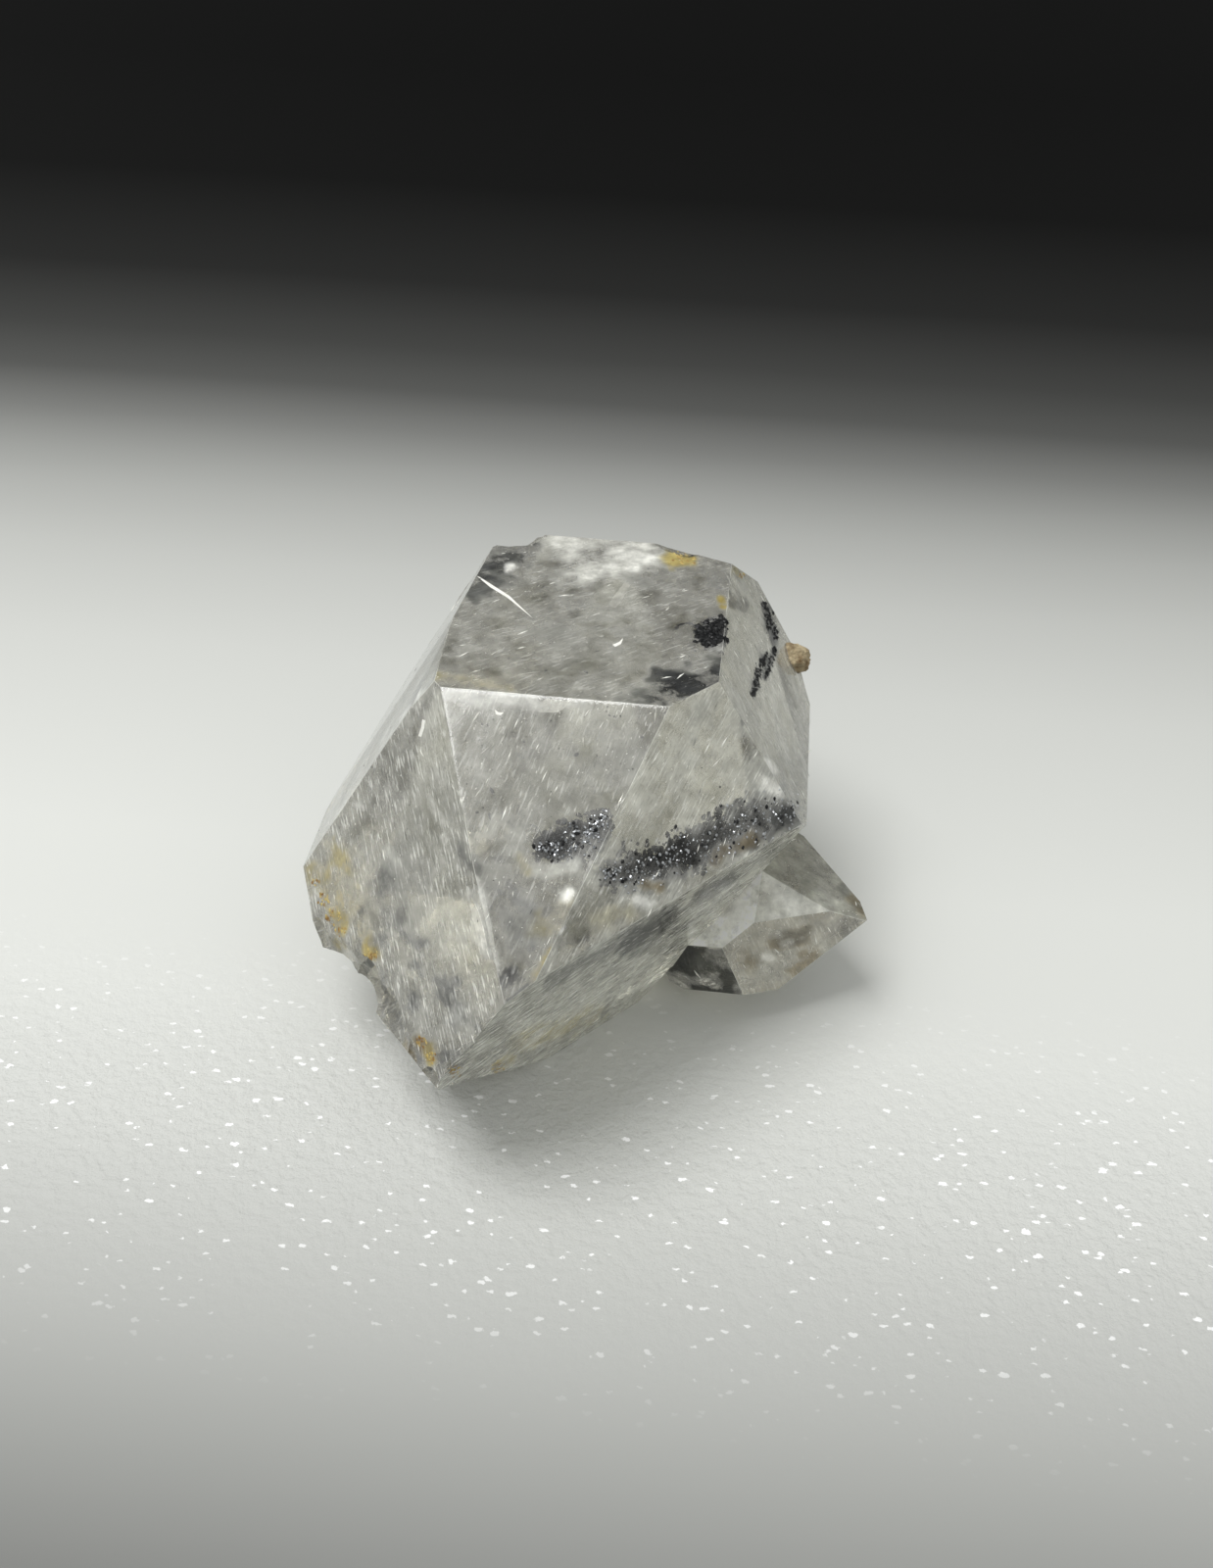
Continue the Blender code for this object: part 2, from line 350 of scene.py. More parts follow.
# On the seen faces the veil and its colour are partly painted light and shade, set to the brightness that
# light and shade give each face.
# Each of these is given in the order of the fields of FaceLook.
LOOKS: dict[Face, FaceLook] = {
    Face.TOP: FaceLook((600, 640), 17.0, 0.30, 0.20, 0.0, 0.20, "#b8b8b0", 0.13, 0.4),
    Face.NEAR_TOP: FaceLook((560, 800), 68.0, 0.30, 0.25, 0.0, 0.18, "#b2b2aa", 0.12, 0.7),
    Face.NEAR_UPPER_RIGHT: FaceLook((730, 800), 62.0, 0.35, 0.40, 0.0, 0.30, "#e9e9e1", 0.10, 0.7),
    Face.NEAR_UPPER_LEFT: FaceLook((430, 850), 103.0, 0.75, 0.60, 0.0, 0.24, "#c8c8c0", 0.10, 0.5),
    Face.UPPER_RIGHT: FaceLook((790, 740), 115.0, 0.40, 0.30, 0.0, 0.30, "#d4d4cd", 0.09, 0.5),
    Face.NEAR_LOWER_RIGHT: FaceLook((640, 985), 35.0, 1.0, 1.9, 0.0, 0.48, "#ececdf", 0.10, 1.5),
    Face.UPPER_LEFT: FaceLook((370, 780), 60.0, 0.15, 0.08, 0.0, 0.30, "#dfe1dc", 0.05, 0.1),
    # Painted light: the upper faces of the small crystal lie in the shade of the large one and are painted
    # bright.
    Face.SMALL_UPPER: FaceLook(None, 0.0, 0.05, 0.05, 0.0, 0.95, "#fdfdf7", 0.04, 0.4),
    Face.SMALL_UPPER_TIP: FaceLook(None, 0.0, 0.05, 0.05, 0.0, 0.50, "#e3e3d9", 0.04, 0.4),
    Face.SMALL_BACK_TIP: FaceLook(None, 0.0, 0.05, 0.05, 0.0, 0.50, "#c6c6ba", 0.04, 0.4),
    Face.SMALL_FRONT: FaceLook(None, 0.0, 0.10, 0.10, 0.0, 0.50, "#45453f", 0.04, 0.3),
    Face.SMALL_FRONT_TIP: FaceLook(None, 0.0, 0.10, 0.30, 0.0, 0.38, "#c4bfb0", 0.05, 1.0),
}


def look_of(face: Face | None) -> FaceLook:
    """Look of a face, or of broken ground where there is no face."""
    if face is None:
        return BROKEN_FACE
    usual = SMALL_FACE if face.value[0] is Crystal.SMALL else HIDDEN_FACE
    return LOOKS.get(face, usual)


def lines_along(face: Face, camera: PhotoCamera) -> Vector:
    """Direction of the growth lines on a face.

    Args:
        face: A face of one of the crystals.
        camera: The photograph's camera.

    Returns:
        A unit vector in the plane of the face.
    """
    normal, look = face.normal(), look_of(face)
    if look.at_px is None:
        return normal.cross(face.value[0].turn() @ Vector((0.0, 0.0, 1.0))).normalized()
    right, up, _ = camera.axes()
    slope = math.radians(look.lines_deg)
    drawn = right * math.cos(slope) + up * math.sin(slope)
    return normal.cross(camera.sight(look.at_px).cross(drawn)).normalized()


class Tint(Enum):
    """What a mark on a face paints: its colour and the share of light that it scatters. White, pale, grey and
    dark marks are partly painted light and shade, ochre and rust are iron stain, and clear marks thin the
    veil.
    """

    WHITE = ("#f8f7f0", 0.85)
    PALE = ("#d6d6ce", 0.60)
    GREY = ("#6f706c", 0.50)
    DARK = ("#252627", 0.80)
    OCHRE = ("#b3a05a", 0.62)
    RUST = ("#5e4a24", 0.85)
    CLEAR = ("#f7f6f1", 0.0)


@dataclass(frozen=True)
class Mark:
    """A soft, ragged mark on a face: a streak with round ends, by its pixels in the photograph. Its tint
    tells whether it is painted light and shade, iron stain or a clearer veil.
    """

    tint: Tint
    start_px: Pixel
    end_px: Pixel
    half_px: float
    strength: float = 1.0


# Painted light and shade and iron stain on each face: the white, pale, grey and dark marks stand partly for
# the bright and dark that the crystal shows by bending and mirroring light.
STAIN_AND_PAINTED_LIGHT_MARKS: dict[Face | None, tuple[Mark, ...]] = {
    Face.TOP: (
        Mark(Tint.WHITE, (590, 562), (645, 568), 30, 0.62),
        Mark(Tint.GREY, (560, 640), (625, 636), 26, 0.35),
        Mark(Tint.DARK, (500, 578), (536, 564), 16, 0.72),
        Mark(Tint.DARK, (486, 604), (508, 592), 16, 0.62),
        Mark(Tint.WHITE, (519, 580), (523, 578), 5, 0.95),
        Mark(Tint.GREY, (640, 593), (736, 592), 9, 0.45),
        Mark(Tint.GREY, (725, 584), (738, 604), 9, 0.50),
        Mark(Tint.OCHRE, (686, 570), (706, 571), 8, 0.85),
        Mark(Tint.OCHRE, (736, 612), (738, 616), 5, 0.90),
        Mark(Tint.CLEAR, (714, 646), (735, 645), 9, 0.85),
        Mark(Tint.OCHRE, (445, 690), (520, 700), 7, 0.40),
        Mark(Tint.PALE, (630, 640), (652, 626), 13, 0.35),
        Mark(Tint.PALE, (470, 665), (476, 655), 8, 0.40),
        Mark(Tint.DARK, (676, 705), (728, 692), 20, 0.90),
        Mark(Tint.DARK, (655, 711), (690, 712), 10, 0.50),
        Mark(Tint.GREY, (636, 716), (668, 704), 9, 0.55),
    ),
    Face.NEAR_TOP: (
        Mark(Tint.WHITE, (458, 709), (545, 717), 8, 0.50),
        Mark(Tint.WHITE, (550, 720), (596, 718), 7, 0.45),
        Mark(Tint.PALE, (462, 735), (466, 765), 6, 0.50),
        Mark(Tint.GREY, (590, 765), (636, 775), 38, 0.40),
        Mark(Tint.PALE, (495, 800), (515, 860), 26, 0.30),
        Mark(Tint.CLEAR, (560, 862), (610, 846), 16, 0.80),
        Mark(Tint.PALE, (545, 890), (588, 882), 8, 0.75),
        Mark(Tint.GREY, (512, 905), (545, 955), 24, 0.55),
        Mark(Tint.DARK, (515, 930), (520, 945), 8, 0.35),
        Mark(Tint.OCHRE, (560, 945), (582, 935), 18, 0.38),
        Mark(Tint.OCHRE, (546, 1000), (563, 972), 8, 0.60),
        Mark(Tint.OCHRE, (530, 878), (538, 890), 7, 0.35),
        Mark(Tint.DARK, (476, 864), (486, 890), 8, 0.40),
        Mark(Tint.WHITE, (577, 915), (580, 911), 7, 0.90),
        Mark(Tint.WHITE, (484, 902), (503, 985), 8, 0.70),
        Mark(Tint.WHITE, (480, 909), (484, 913), 5, 0.80),
    ),
    Face.NEAR_UPPER_RIGHT: (
        Mark(Tint.PALE, (715, 765), (765, 765), 28, 0.40),
        Mark(Tint.GREY, (705, 730), (735, 716), 9, 0.35),
        Mark(Tint.GREY, (733, 786), (752, 772), 8, 0.30),
        Mark(Tint.WHITE, (785, 801), (798, 809), 8, 0.65),
        Mark(Tint.DARK, (765, 850), (808, 830), 16, 0.85),
        Mark(Tint.DARK, (690, 888), (765, 858), 12, 0.40),
        Mark(Tint.CLEAR, (630, 888), (700, 876), 16, 0.80),
        Mark(Tint.CLEAR, (700, 868), (770, 838), 17, 0.80),
        Mark(Tint.RUST, (729, 880), (737, 866), 7, 0.60),
        Mark(Tint.RUST, (757, 863), (768, 855), 8, 0.50),
        Mark(Tint.RUST, (655, 903), (672, 906), 6, 0.60),
        Mark(Tint.OCHRE, (600, 938), (640, 932), 13, 0.25),
        Mark(Tint.WHITE, (650, 919), (662, 923), 7, 0.90),
    ),
    Face.NEAR_UPPER_LEFT: (
        Mark(Tint.PALE, (425, 735), (445, 720), 18, 0.40),
        Mark(Tint.DARK, (385, 900), (404, 935), 17, 0.50),
        Mark(Tint.GREY, (400, 890), (440, 960), 30, 0.35),
        Mark(Tint.DARK, (468, 868), (478, 886), 9, 0.50),
        Mark(Tint.WHITE, (438, 812), (452, 838), 4, 0.45),
        Mark(Tint.WHITE, (452, 853), (454, 858), 4, 0.85),
        Mark(Tint.WHITE, (366, 820), (369, 824), 4, 0.70),
        Mark(Tint.PALE, (395, 868), (402, 882), 8, 0.50),
        Mark(Tint.OCHRE, (322, 888), (348, 928), 12, 0.60),
        Mark(Tint.OCHRE, (337, 925), (350, 948), 7, 0.85),
        Mark(Tint.OCHRE, (375, 968), (382, 976), 9, 0.90),
        Mark(Tint.OCHRE, (352, 875), (370, 950), 17, 0.50),
        Mark(Tint.OCHRE, (335, 862), (352, 884), 8, 0.30),
        Mark(Tint.RUST, (427, 1062), (434, 1068), 8, 0.70),
        Mark(Tint.OCHRE, (443, 1070), (440, 1086), 7, 0.80),
        Mark(Tint.WHITE, (480, 915), (497, 975), 7, 0.60),
        Mark(Tint.PALE, (430, 1000), (455, 1045), 20, 0.25),
    ),
    Face.NEAR_LOWER_RIGHT: (
        Mark(Tint.DARK, (642, 964), (682, 938), 12, 0.85),
        Mark(Tint.DARK, (655, 951), (674, 944), 6, 0.80),
        Mark(Tint.DARK, (712, 916), (745, 896), 7, 0.80),
        Mark(Tint.DARK, (560, 1004), (620, 966), 7, 0.45),
        Mark(Tint.GREY, (750, 888), (802, 862), 6, 0.45),
        Mark(Tint.OCHRE, (530, 1066), (612, 1034), 10, 0.50),
        Mark(Tint.OCHRE, (505, 1090), (522, 1080), 5, 0.75),
        Mark(Tint.PALE, (600, 1045), (665, 1000), 9, 0.40),
        Mark(Tint.PALE, (690, 940), (735, 908), 4, 0.50),
    ),
    Face.UPPER_RIGHT: (
        Mark(Tint.PALE, (760, 600), (785, 640), 10, 0.40),
        Mark(Tint.GREY, (811, 780), (815, 830), 13, 0.55),
        Mark(Tint.WHITE, (784, 778), (788, 786), 5, 0.80),
        Mark(Tint.DARK, (770, 706), (780, 671), 5, 0.60),
        Mark(Tint.DARK, (782, 690), (789, 665), 4, 0.60),
        Mark(Tint.DARK, (790, 652), (783, 620), 7, 0.60),
        Mark(Tint.OCHRE, (751, 580), (757, 585), 5, 0.40),
    ),
    Face.UPPER_LEFT: (
        Mark(Tint.WHITE, (430, 712), (330, 862), 8, 0.40),
        Mark(Tint.GREY, (442, 664), (364, 780), 5, 0.45),
        Mark(Tint.DARK, (455, 648), (419, 718), 1.5, 0.45),
    ),
    Face.SMALL_FRONT: (
        Mark(Tint.DARK, (692, 985), (700, 970), 9, 0.60),
        Mark(Tint.DARK, (705, 1008), (752, 1014), 8, 0.50),
        Mark(Tint.GREY, (715, 985), (722, 980), 9, 0.50),
    ),
    Face.SMALL_FRONT_TIP: (
        Mark(Tint.RUST, (793, 960), (822, 953), 9, 0.60),
        Mark(Tint.GREY, (795, 957), (825, 952), 8, 0.60),
        Mark(Tint.RUST, (810, 988), (832, 974), 8, 0.45),
        Mark(Tint.GREY, (770, 975), (780, 990), 9, 0.30),
        Mark(Tint.WHITE, (781, 977), (787, 976), 5, 0.80),
        Mark(Tint.WHITE, (846, 948), (852, 938), 7, 0.40),
        Mark(Tint.GREY, (866, 924), (882, 934), 6, 0.40),
        Mark(Tint.PALE, (836, 958), (845, 972), 10, 0.55),
        Mark(Tint.RUST, (745, 972), (765, 985), 9, 0.35),
        Mark(Tint.PALE, (764, 993), (800, 996), 7, 0.35),
    ),
    Face.SMALL_BACK_TIP: (
        Mark(Tint.PALE, (832, 884), (838, 890), 6, 0.45),
        Mark(Tint.PALE, (836, 914), (846, 920), 9, 0.50),
        Mark(Tint.DARK, (858, 905), (880, 928), 5, 0.35),
        Mark(Tint.RUST, (870, 918), (882, 932), 7, 0.35),
    ),
    Face.SMALL_UPPER_TIP: (
        Mark(Tint.WHITE, (788, 906), (815, 925), 12, 0.45),
        Mark(Tint.WHITE, (787, 936), (793, 935), 4, 0.80),
    ),
    Face.SMALL_UPPER: (
        Mark(Tint.WHITE, (743, 944), (749, 946), 4, 0.90),
        Mark(Tint.GREY, (800, 905), (856, 915), 6, 0.30),
    ),
    None: (
        Mark(Tint.OCHRE, (312, 905), (352, 962), 9, 0.75),
        Mark(Tint.OCHRE, (372, 972), (384, 982), 7, 0.60),
        Mark(Tint.RUST, (418, 1068), (430, 1088), 7, 0.60),
        Mark(Tint.RUST, (452, 1096), (478, 1098), 6, 0.70),
        Mark(Tint.OCHRE, (496, 1092), (524, 1088), 6, 0.70),
        Mark(Tint.OCHRE, (683, 568), (712, 573), 7, 0.70),
    ),
}


@dataclass(frozen=True)
class ClearQuartz:
    """Clear quartz that grew in a solution, its faces glassy and finely lined.

    The body is almost colourless. Growth lines bend what is seen through a face, and cloudy veils
    and thin healed cracks scatter light under it, so that the inside looks hazy and silky.
    """

    body_hex: str = "#f7f6f1"
    thread_hex: str = "#f6f6f0"
    gap_hex: str = "#4e4f4c"
    depth_colour_hex: str = "#cfccba"
    depth_density: float = 50.0         # absorption for each metre
    line_mm: float = 0.26               # width of a growth line
    line_length: float = 6.0            # how many times longer than wide it is
    line_height_um: float = 9.0
    silk_mm: float = 0.10
    silk_length: float = 7.0
    silk_haze: float = 0.85             # share of light that a bright thread scatters
    ripple_mm: float = 0.42
    ripple_height_um: float = 36.0
    cloud_mm: float = 1.3
    cloud_shares: tuple[float, float] = (0.20, 1.80)    # thinnest and thickest veil
    veil_cover: float = 1.7             # how much more a veil tints than it scatters
    thread_edges: tuple[float, float] = (0.56, 0.66)    # noise values where a thread fades in
    gap_edges: tuple[float, float] = (0.44, 0.32)       # and where a dark gap does
    mottle_mm: float = 0.7
    mottle: tuple[float, float] = (0.78, 1.20)      # darkest and lightest, as shares

    def streaks(
        self, tree: bpy.types.NodeTree, width_mm: float, length: float, shift: float
    ) -> bpy.types.NodeSocket:
        """Noise drawn out along the growth lines.

        Args:
            tree: Node tree of the material.
            width_mm: Width of a streak.
            length: How many times longer than wide it is.
            shift: Offset that keeps one set of streaks off another.

        Returns:
            Socket with values about a half.
        """
        face_map = add_node(tree, "ShaderNodeUVMap", {"uv_map": "growth_lines"})
        stretched = add_node(tree, "ShaderNodeMapping", inputs={
            "Vector": face_map.outputs["UV"],
            "Location": (shift, shift, 0.0),
            "Scale": (1.0 / (width_mm * length), 1.0 / width_mm, 1.0),
        })
        return add_node(tree, "ShaderNodeTexNoise", inputs={
            "Vector": stretched.outputs["Vector"], "Scale": 1.0, "Detail": 3.0, "Roughness": 0.6,
        }).outputs["Fac"]

    def relief(self, tree: bpy.types.NodeTree, lines: bpy.types.NodeSocket,
               ripple: bpy.types.NodeSocket, place: bpy.types.NodeSocket) -> bpy.types.NodeSocket:
        """Normal bent by growth lines and by growth ripples, as strong as the face has them."""
        waves = add_node(tree, "ShaderNodeTexNoise", inputs={
            "Vector": place, "Scale": 1.0 / (self.ripple_mm * MM), "Detail": 2.0, "Roughness": 0.5,
        })
        rippled = add_node(tree, "ShaderNodeBump", inputs={
            "Strength": ripple, "Height": waves.outputs["Fac"], "Distance": self.ripple_height_um * 1e-6,
        })
        lined = add_node(tree, "ShaderNodeBump", inputs={
            "Strength": lines, "Height": self.streaks(tree, self.line_mm, self.line_length, 0.0),
            "Distance": self.line_height_um * 1e-6, "Normal": rippled.outputs["Normal"],
        })
        return lined.outputs["Normal"]

    def threads(self, tree: bpy.types.NodeTree, silk: bpy.types.NodeSocket,
                edges: tuple[float, float], most: float) -> bpy.types.NodeSocket:
        """Share of bright threads or of the dark gaps between them.

        Args:
            tree: Node tree of the material.
            silk: Contrast of the threads on the face.
            edges: Noise values between which a thread fades in.
            most: Share in the middle of a thread.

        Returns:
            Socket with the share.
        """
        noise_value = self.streaks(tree, self.silk_mm, self.silk_length, 40.0)
        thread = add_node(tree, "ShaderNodeMapRange", {"clamp": True}, {
            "Value": noise_value, "From Min": edges[0], "From Max": edges[1], "To Min": 0.0, "To Max": most,
        })
        return add_node(tree, "ShaderNodeMath", {"operation": "MULTIPLY", "use_clamp": True}, {
            0: thread.outputs["Result"], 1: silk,
        }).outputs["Value"]

    def make(self) -> bpy.types.Material:
        """Build the material."""
        material, tree, shader = new_material("clear_quartz_glassy_growth_faces")
        shader.inputs["IOR"].default_value = QUARTZ_IOR
        frost = add_node(tree, "ShaderNodeAttribute", {"attribute_name": "frost"})
        tree.links.new(frost.outputs["Fac"], shader.inputs["Roughness"])
        surface = add_node(tree, "ShaderNodeAttribute", {"attribute_name": "surface"})
        shares = add_node(tree, "ShaderNodeSeparateColor", inputs={0: surface.outputs["Color"]})
        place = add_node(tree, "ShaderNodeTexCoord").outputs["Object"]
        normal = self.relief(tree, shares.outputs["Blue"], surface.outputs["Alpha"], place)
        tree.links.new(normal, shader.inputs["Normal"])
        clouds = add_node(tree, "ShaderNodeTexNoise", inputs={
            "Vector": place, "Scale": 1.0 / (self.cloud_mm * MM), "Detail": 5.0, "Roughness": 0.62,
        })
        uneven = add_node(tree, "ShaderNodeMapRange", {"clamp": True}, {
            "Value": clouds.outputs["Fac"], "From Min": 0.32, "From Max": 0.68,
            "To Min": self.cloud_shares[0], "To Max": self.cloud_shares[1],
        })
        veil = add_node(tree, "ShaderNodeMath", {"operation": "MULTIPLY", "use_clamp": True}, {
            0: shares.outputs["Red"], 1: uneven.outputs["Result"],
        })
        bright = self.threads(tree, shares.outputs["Green"], self.thread_edges, self.silk_haze)
        dark = self.threads(tree, shares.outputs["Green"], self.gap_edges, 1.0)
        haze = add_node(tree, "ShaderNodeMath", {"operation": "ADD", "use_clamp": True}, {
            0: veil.outputs["Value"], 1: bright,
        })
        clear = add_node(tree, "ShaderNodeMath", {"operation": "SUBTRACT"}, {
            0: 1.0, 1: haze.outputs["Value"],
        })
        tree.links.new(clear.outputs["Value"], shader.inputs["Transmission Weight"])
        cover = add_node(tree, "ShaderNodeMath", {"operation": "MULTIPLY", "use_clamp": True}, {
            0: veil.outputs["Value"], 1: self.veil_cover,
        })
        # The veil colour of each corner is partly painted light and shade, from the face looks and the marks.
        veil_and_painted_light = add_node(tree, "ShaderNodeAttribute", {"attribute_name": "veil_and_painted_light"})
        colour = add_node(tree, "ShaderNodeMix", {"data_type": "RGBA"}, {
            0: cover.outputs["Value"], 6: linear(self.body_hex), 7: veil_and_painted_light.outputs["Color"],
        })
        for share, hex_colour in ((dark, self.gap_hex), (bright, self.thread_hex)):
            colour = add_node(tree, "ShaderNodeMix", {"data_type": "RGBA"}, {
                0: share, 6: colour.outputs[2], 7: linear(hex_colour),
            })
        mottling = add_node(tree, "ShaderNodeTexNoise", inputs={
            "Vector": place, "Scale": 1.0 / (self.mottle_mm * MM), "Detail": 6.0, "Roughness": 0.66,
        })
        shade = add_node(tree, "ShaderNodeMapRange", {"clamp": True}, {
            "Value": mottling.outputs["Fac"], "From Min": 0.35, "From Max": 0.65,
            "To Min": self.mottle[0], "To Max": self.mottle[1],
        })
        colour = add_node(tree, "ShaderNodeVectorMath", {"operation": "SCALE"}, {
            0: colour.outputs[2], "Scale": shade.outputs["Result"],
        })
        colour = add_node(tree, "ShaderNodeVectorMath", {"operation": "MINIMUM"}, {
            0: colour.outputs["Vector"], 1: (1.0, 1.0, 1.0),
        })
        tree.links.new(colour.outputs["Vector"], shader.inputs["Base Color"])
        absorb = add_node(tree, "ShaderNodeVolumeAbsorption", inputs={
            "Color": linear(self.depth_colour_hex), "Density": self.depth_density,
        })
        tree.links.new(absorb.outputs["Volume"], tree.nodes["Material Output"].inputs["Volume"])
        return material


@dataclass(frozen=True)
class Anthraxolite:
    """Anthraxolite, a coal-like solid that herkimer quartz often holds: black and glossy where broken."""

    colour_hex: str = "#050505"
    sheen_hex: str = "#17181a"
    roughness: float = 0.42
    patch_mm: float = 0.12

    def make(self) -> bpy.types.Material:
        """Build the material."""
        material, tree, shader = new_material("anthraxolite_broken")
        where = add_node(tree, "ShaderNodeTexCoord")
        patches = add_node(tree, "ShaderNodeTexNoise", inputs={
            "Vector": where.outputs["Object"], "Scale": 1.0 / (self.patch_mm * MM), "Detail": 2.0,
        })
        colour = add_node(tree, "ShaderNodeMix", {"data_type": "RGBA"}, {
            0: patches.outputs["Fac"], 6: linear(self.colour_hex), 7: linear(self.sheen_hex),
        })
        tree.links.new(colour.outputs[2], shader.inputs["Base Color"])
        shader.inputs["Roughness"].default_value = self.roughness
        shader.inputs["Specular IOR Level"].default_value = 0.35
        return material


@dataclass(frozen=True)
class BrownRock:
    """A grain of brown dolomite rock, rough and dull."""

    light_hex: str = "#c3b493"
    dark_hex: str = "#5f4a2c"
    patch_mm: float = 0.55
    roughness: float = 0.85

    def make(self) -> bpy.types.Material:
        """Build the material."""
        material, tree, shader = new_material("brown_dolomite_grain")
        where = add_node(tree, "ShaderNodeTexCoord")
        patches = add_node(tree, "ShaderNodeTexNoise", inputs={
            "Vector": where.outputs["Object"], "Scale": 1.0 / (self.patch_mm * MM), "Detail": 4.0,
        })
        ramp = add_node(tree, "ShaderNodeValToRGB", inputs={"Fac": patches.outputs["Fac"]})
        set_ramp(ramp, [(0.35, self.dark_hex), (0.65, self.light_hex)])
        tree.links.new(ramp.outputs["Color"], shader.inputs["Base Color"])
        bump = add_node(tree, "ShaderNodeBump", inputs={
            "Height": patches.outputs["Fac"], "Distance": 0.05 * MM,
        })
        tree.links.new(bump.outputs["Normal"], shader.inputs["Normal"])
        shader.inputs["Roughness"].default_value = self.roughness
        return material


@dataclass(frozen=True)
class IronStain:
    """Earthy iron oxide, dull and mottled from straw yellow to orange brown."""

    light_hex: str = "#c2ae6a"
    dark_hex: str = "#7d5a26"
    patch_mm: float = 0.3
    roughness: float = 0.8

    def make(self) -> bpy.types.Material:
        """Build the material."""
        material, tree, shader = new_material("earthy_iron_oxide")
        where = add_node(tree, "ShaderNodeTexCoord")
        patches = add_node(tree, "ShaderNodeTexNoise", inputs={
            "Vector": where.outputs["Object"], "Scale": 1.0 / (self.patch_mm * MM), "Detail": 3.0,
        })
        ramp = add_node(tree, "ShaderNodeValToRGB", inputs={"Fac": patches.outputs["Fac"]})
        set_ramp(ramp, [(0.38, self.dark_hex), (0.6, self.light_hex)])
        tree.links.new(ramp.outputs["Color"], shader.inputs["Base Color"])
        shader.inputs["Roughness"].default_value = self.roughness
        return material


@dataclass(frozen=True)
class FluidBubble:
    """A bubble of gas or water in quartz: light bends the other way at its wall."""

    ior: float = 1.0 / QUARTZ_IOR

    def make(self) -> bpy.types.Material:
        """Build the material."""
        material, _, shader = new_material("fluid_bubble_wall")
        shader.inputs["Base Color"].default_value = (1.0, 1.0, 1.0, 1.0)
        shader.inputs["Roughness"].default_value = 0.0
        shader.inputs["IOR"].default_value = self.ior
        shader.inputs["Transmission Weight"].default_value = 1.0
        return material


@dataclass(frozen=True)
class HealedCrack:
    """Thin cavities of a healed crack.

    Full of gas they mirror the light like silver, so that some glint white and some look dark. Full of
    coal they are dull and grey.
    """

    name: str
    light_hex: str
    dark_hex: str
    silvery: float
    roughness: float
    patch_mm: float = 0.6

    def make(self) -> bpy.types.Material:
        """Build the material."""
        material, tree, shader = new_material(self.name)
        where = add_node(tree, "ShaderNodeTexCoord")
        shade = add_node(tree, "ShaderNodeTexNoise", inputs={
            "Vector": where.outputs["Object"], "Scale": 1.0 / (self.patch_mm * MM), "Detail": 2.0,
        })
        tint = add_node(tree, "ShaderNodeMix", {"data_type": "RGBA"}, {
            0: shade.outputs["Fac"], 6: linear(self.dark_hex), 7: linear(self.light_hex),
        })
        tree.links.new(tint.outputs[2], shader.inputs["Base Color"])
        shader.inputs["Metallic"].default_value = self.silvery
        shader.inputs["Roughness"].default_value = self.roughness
        return material


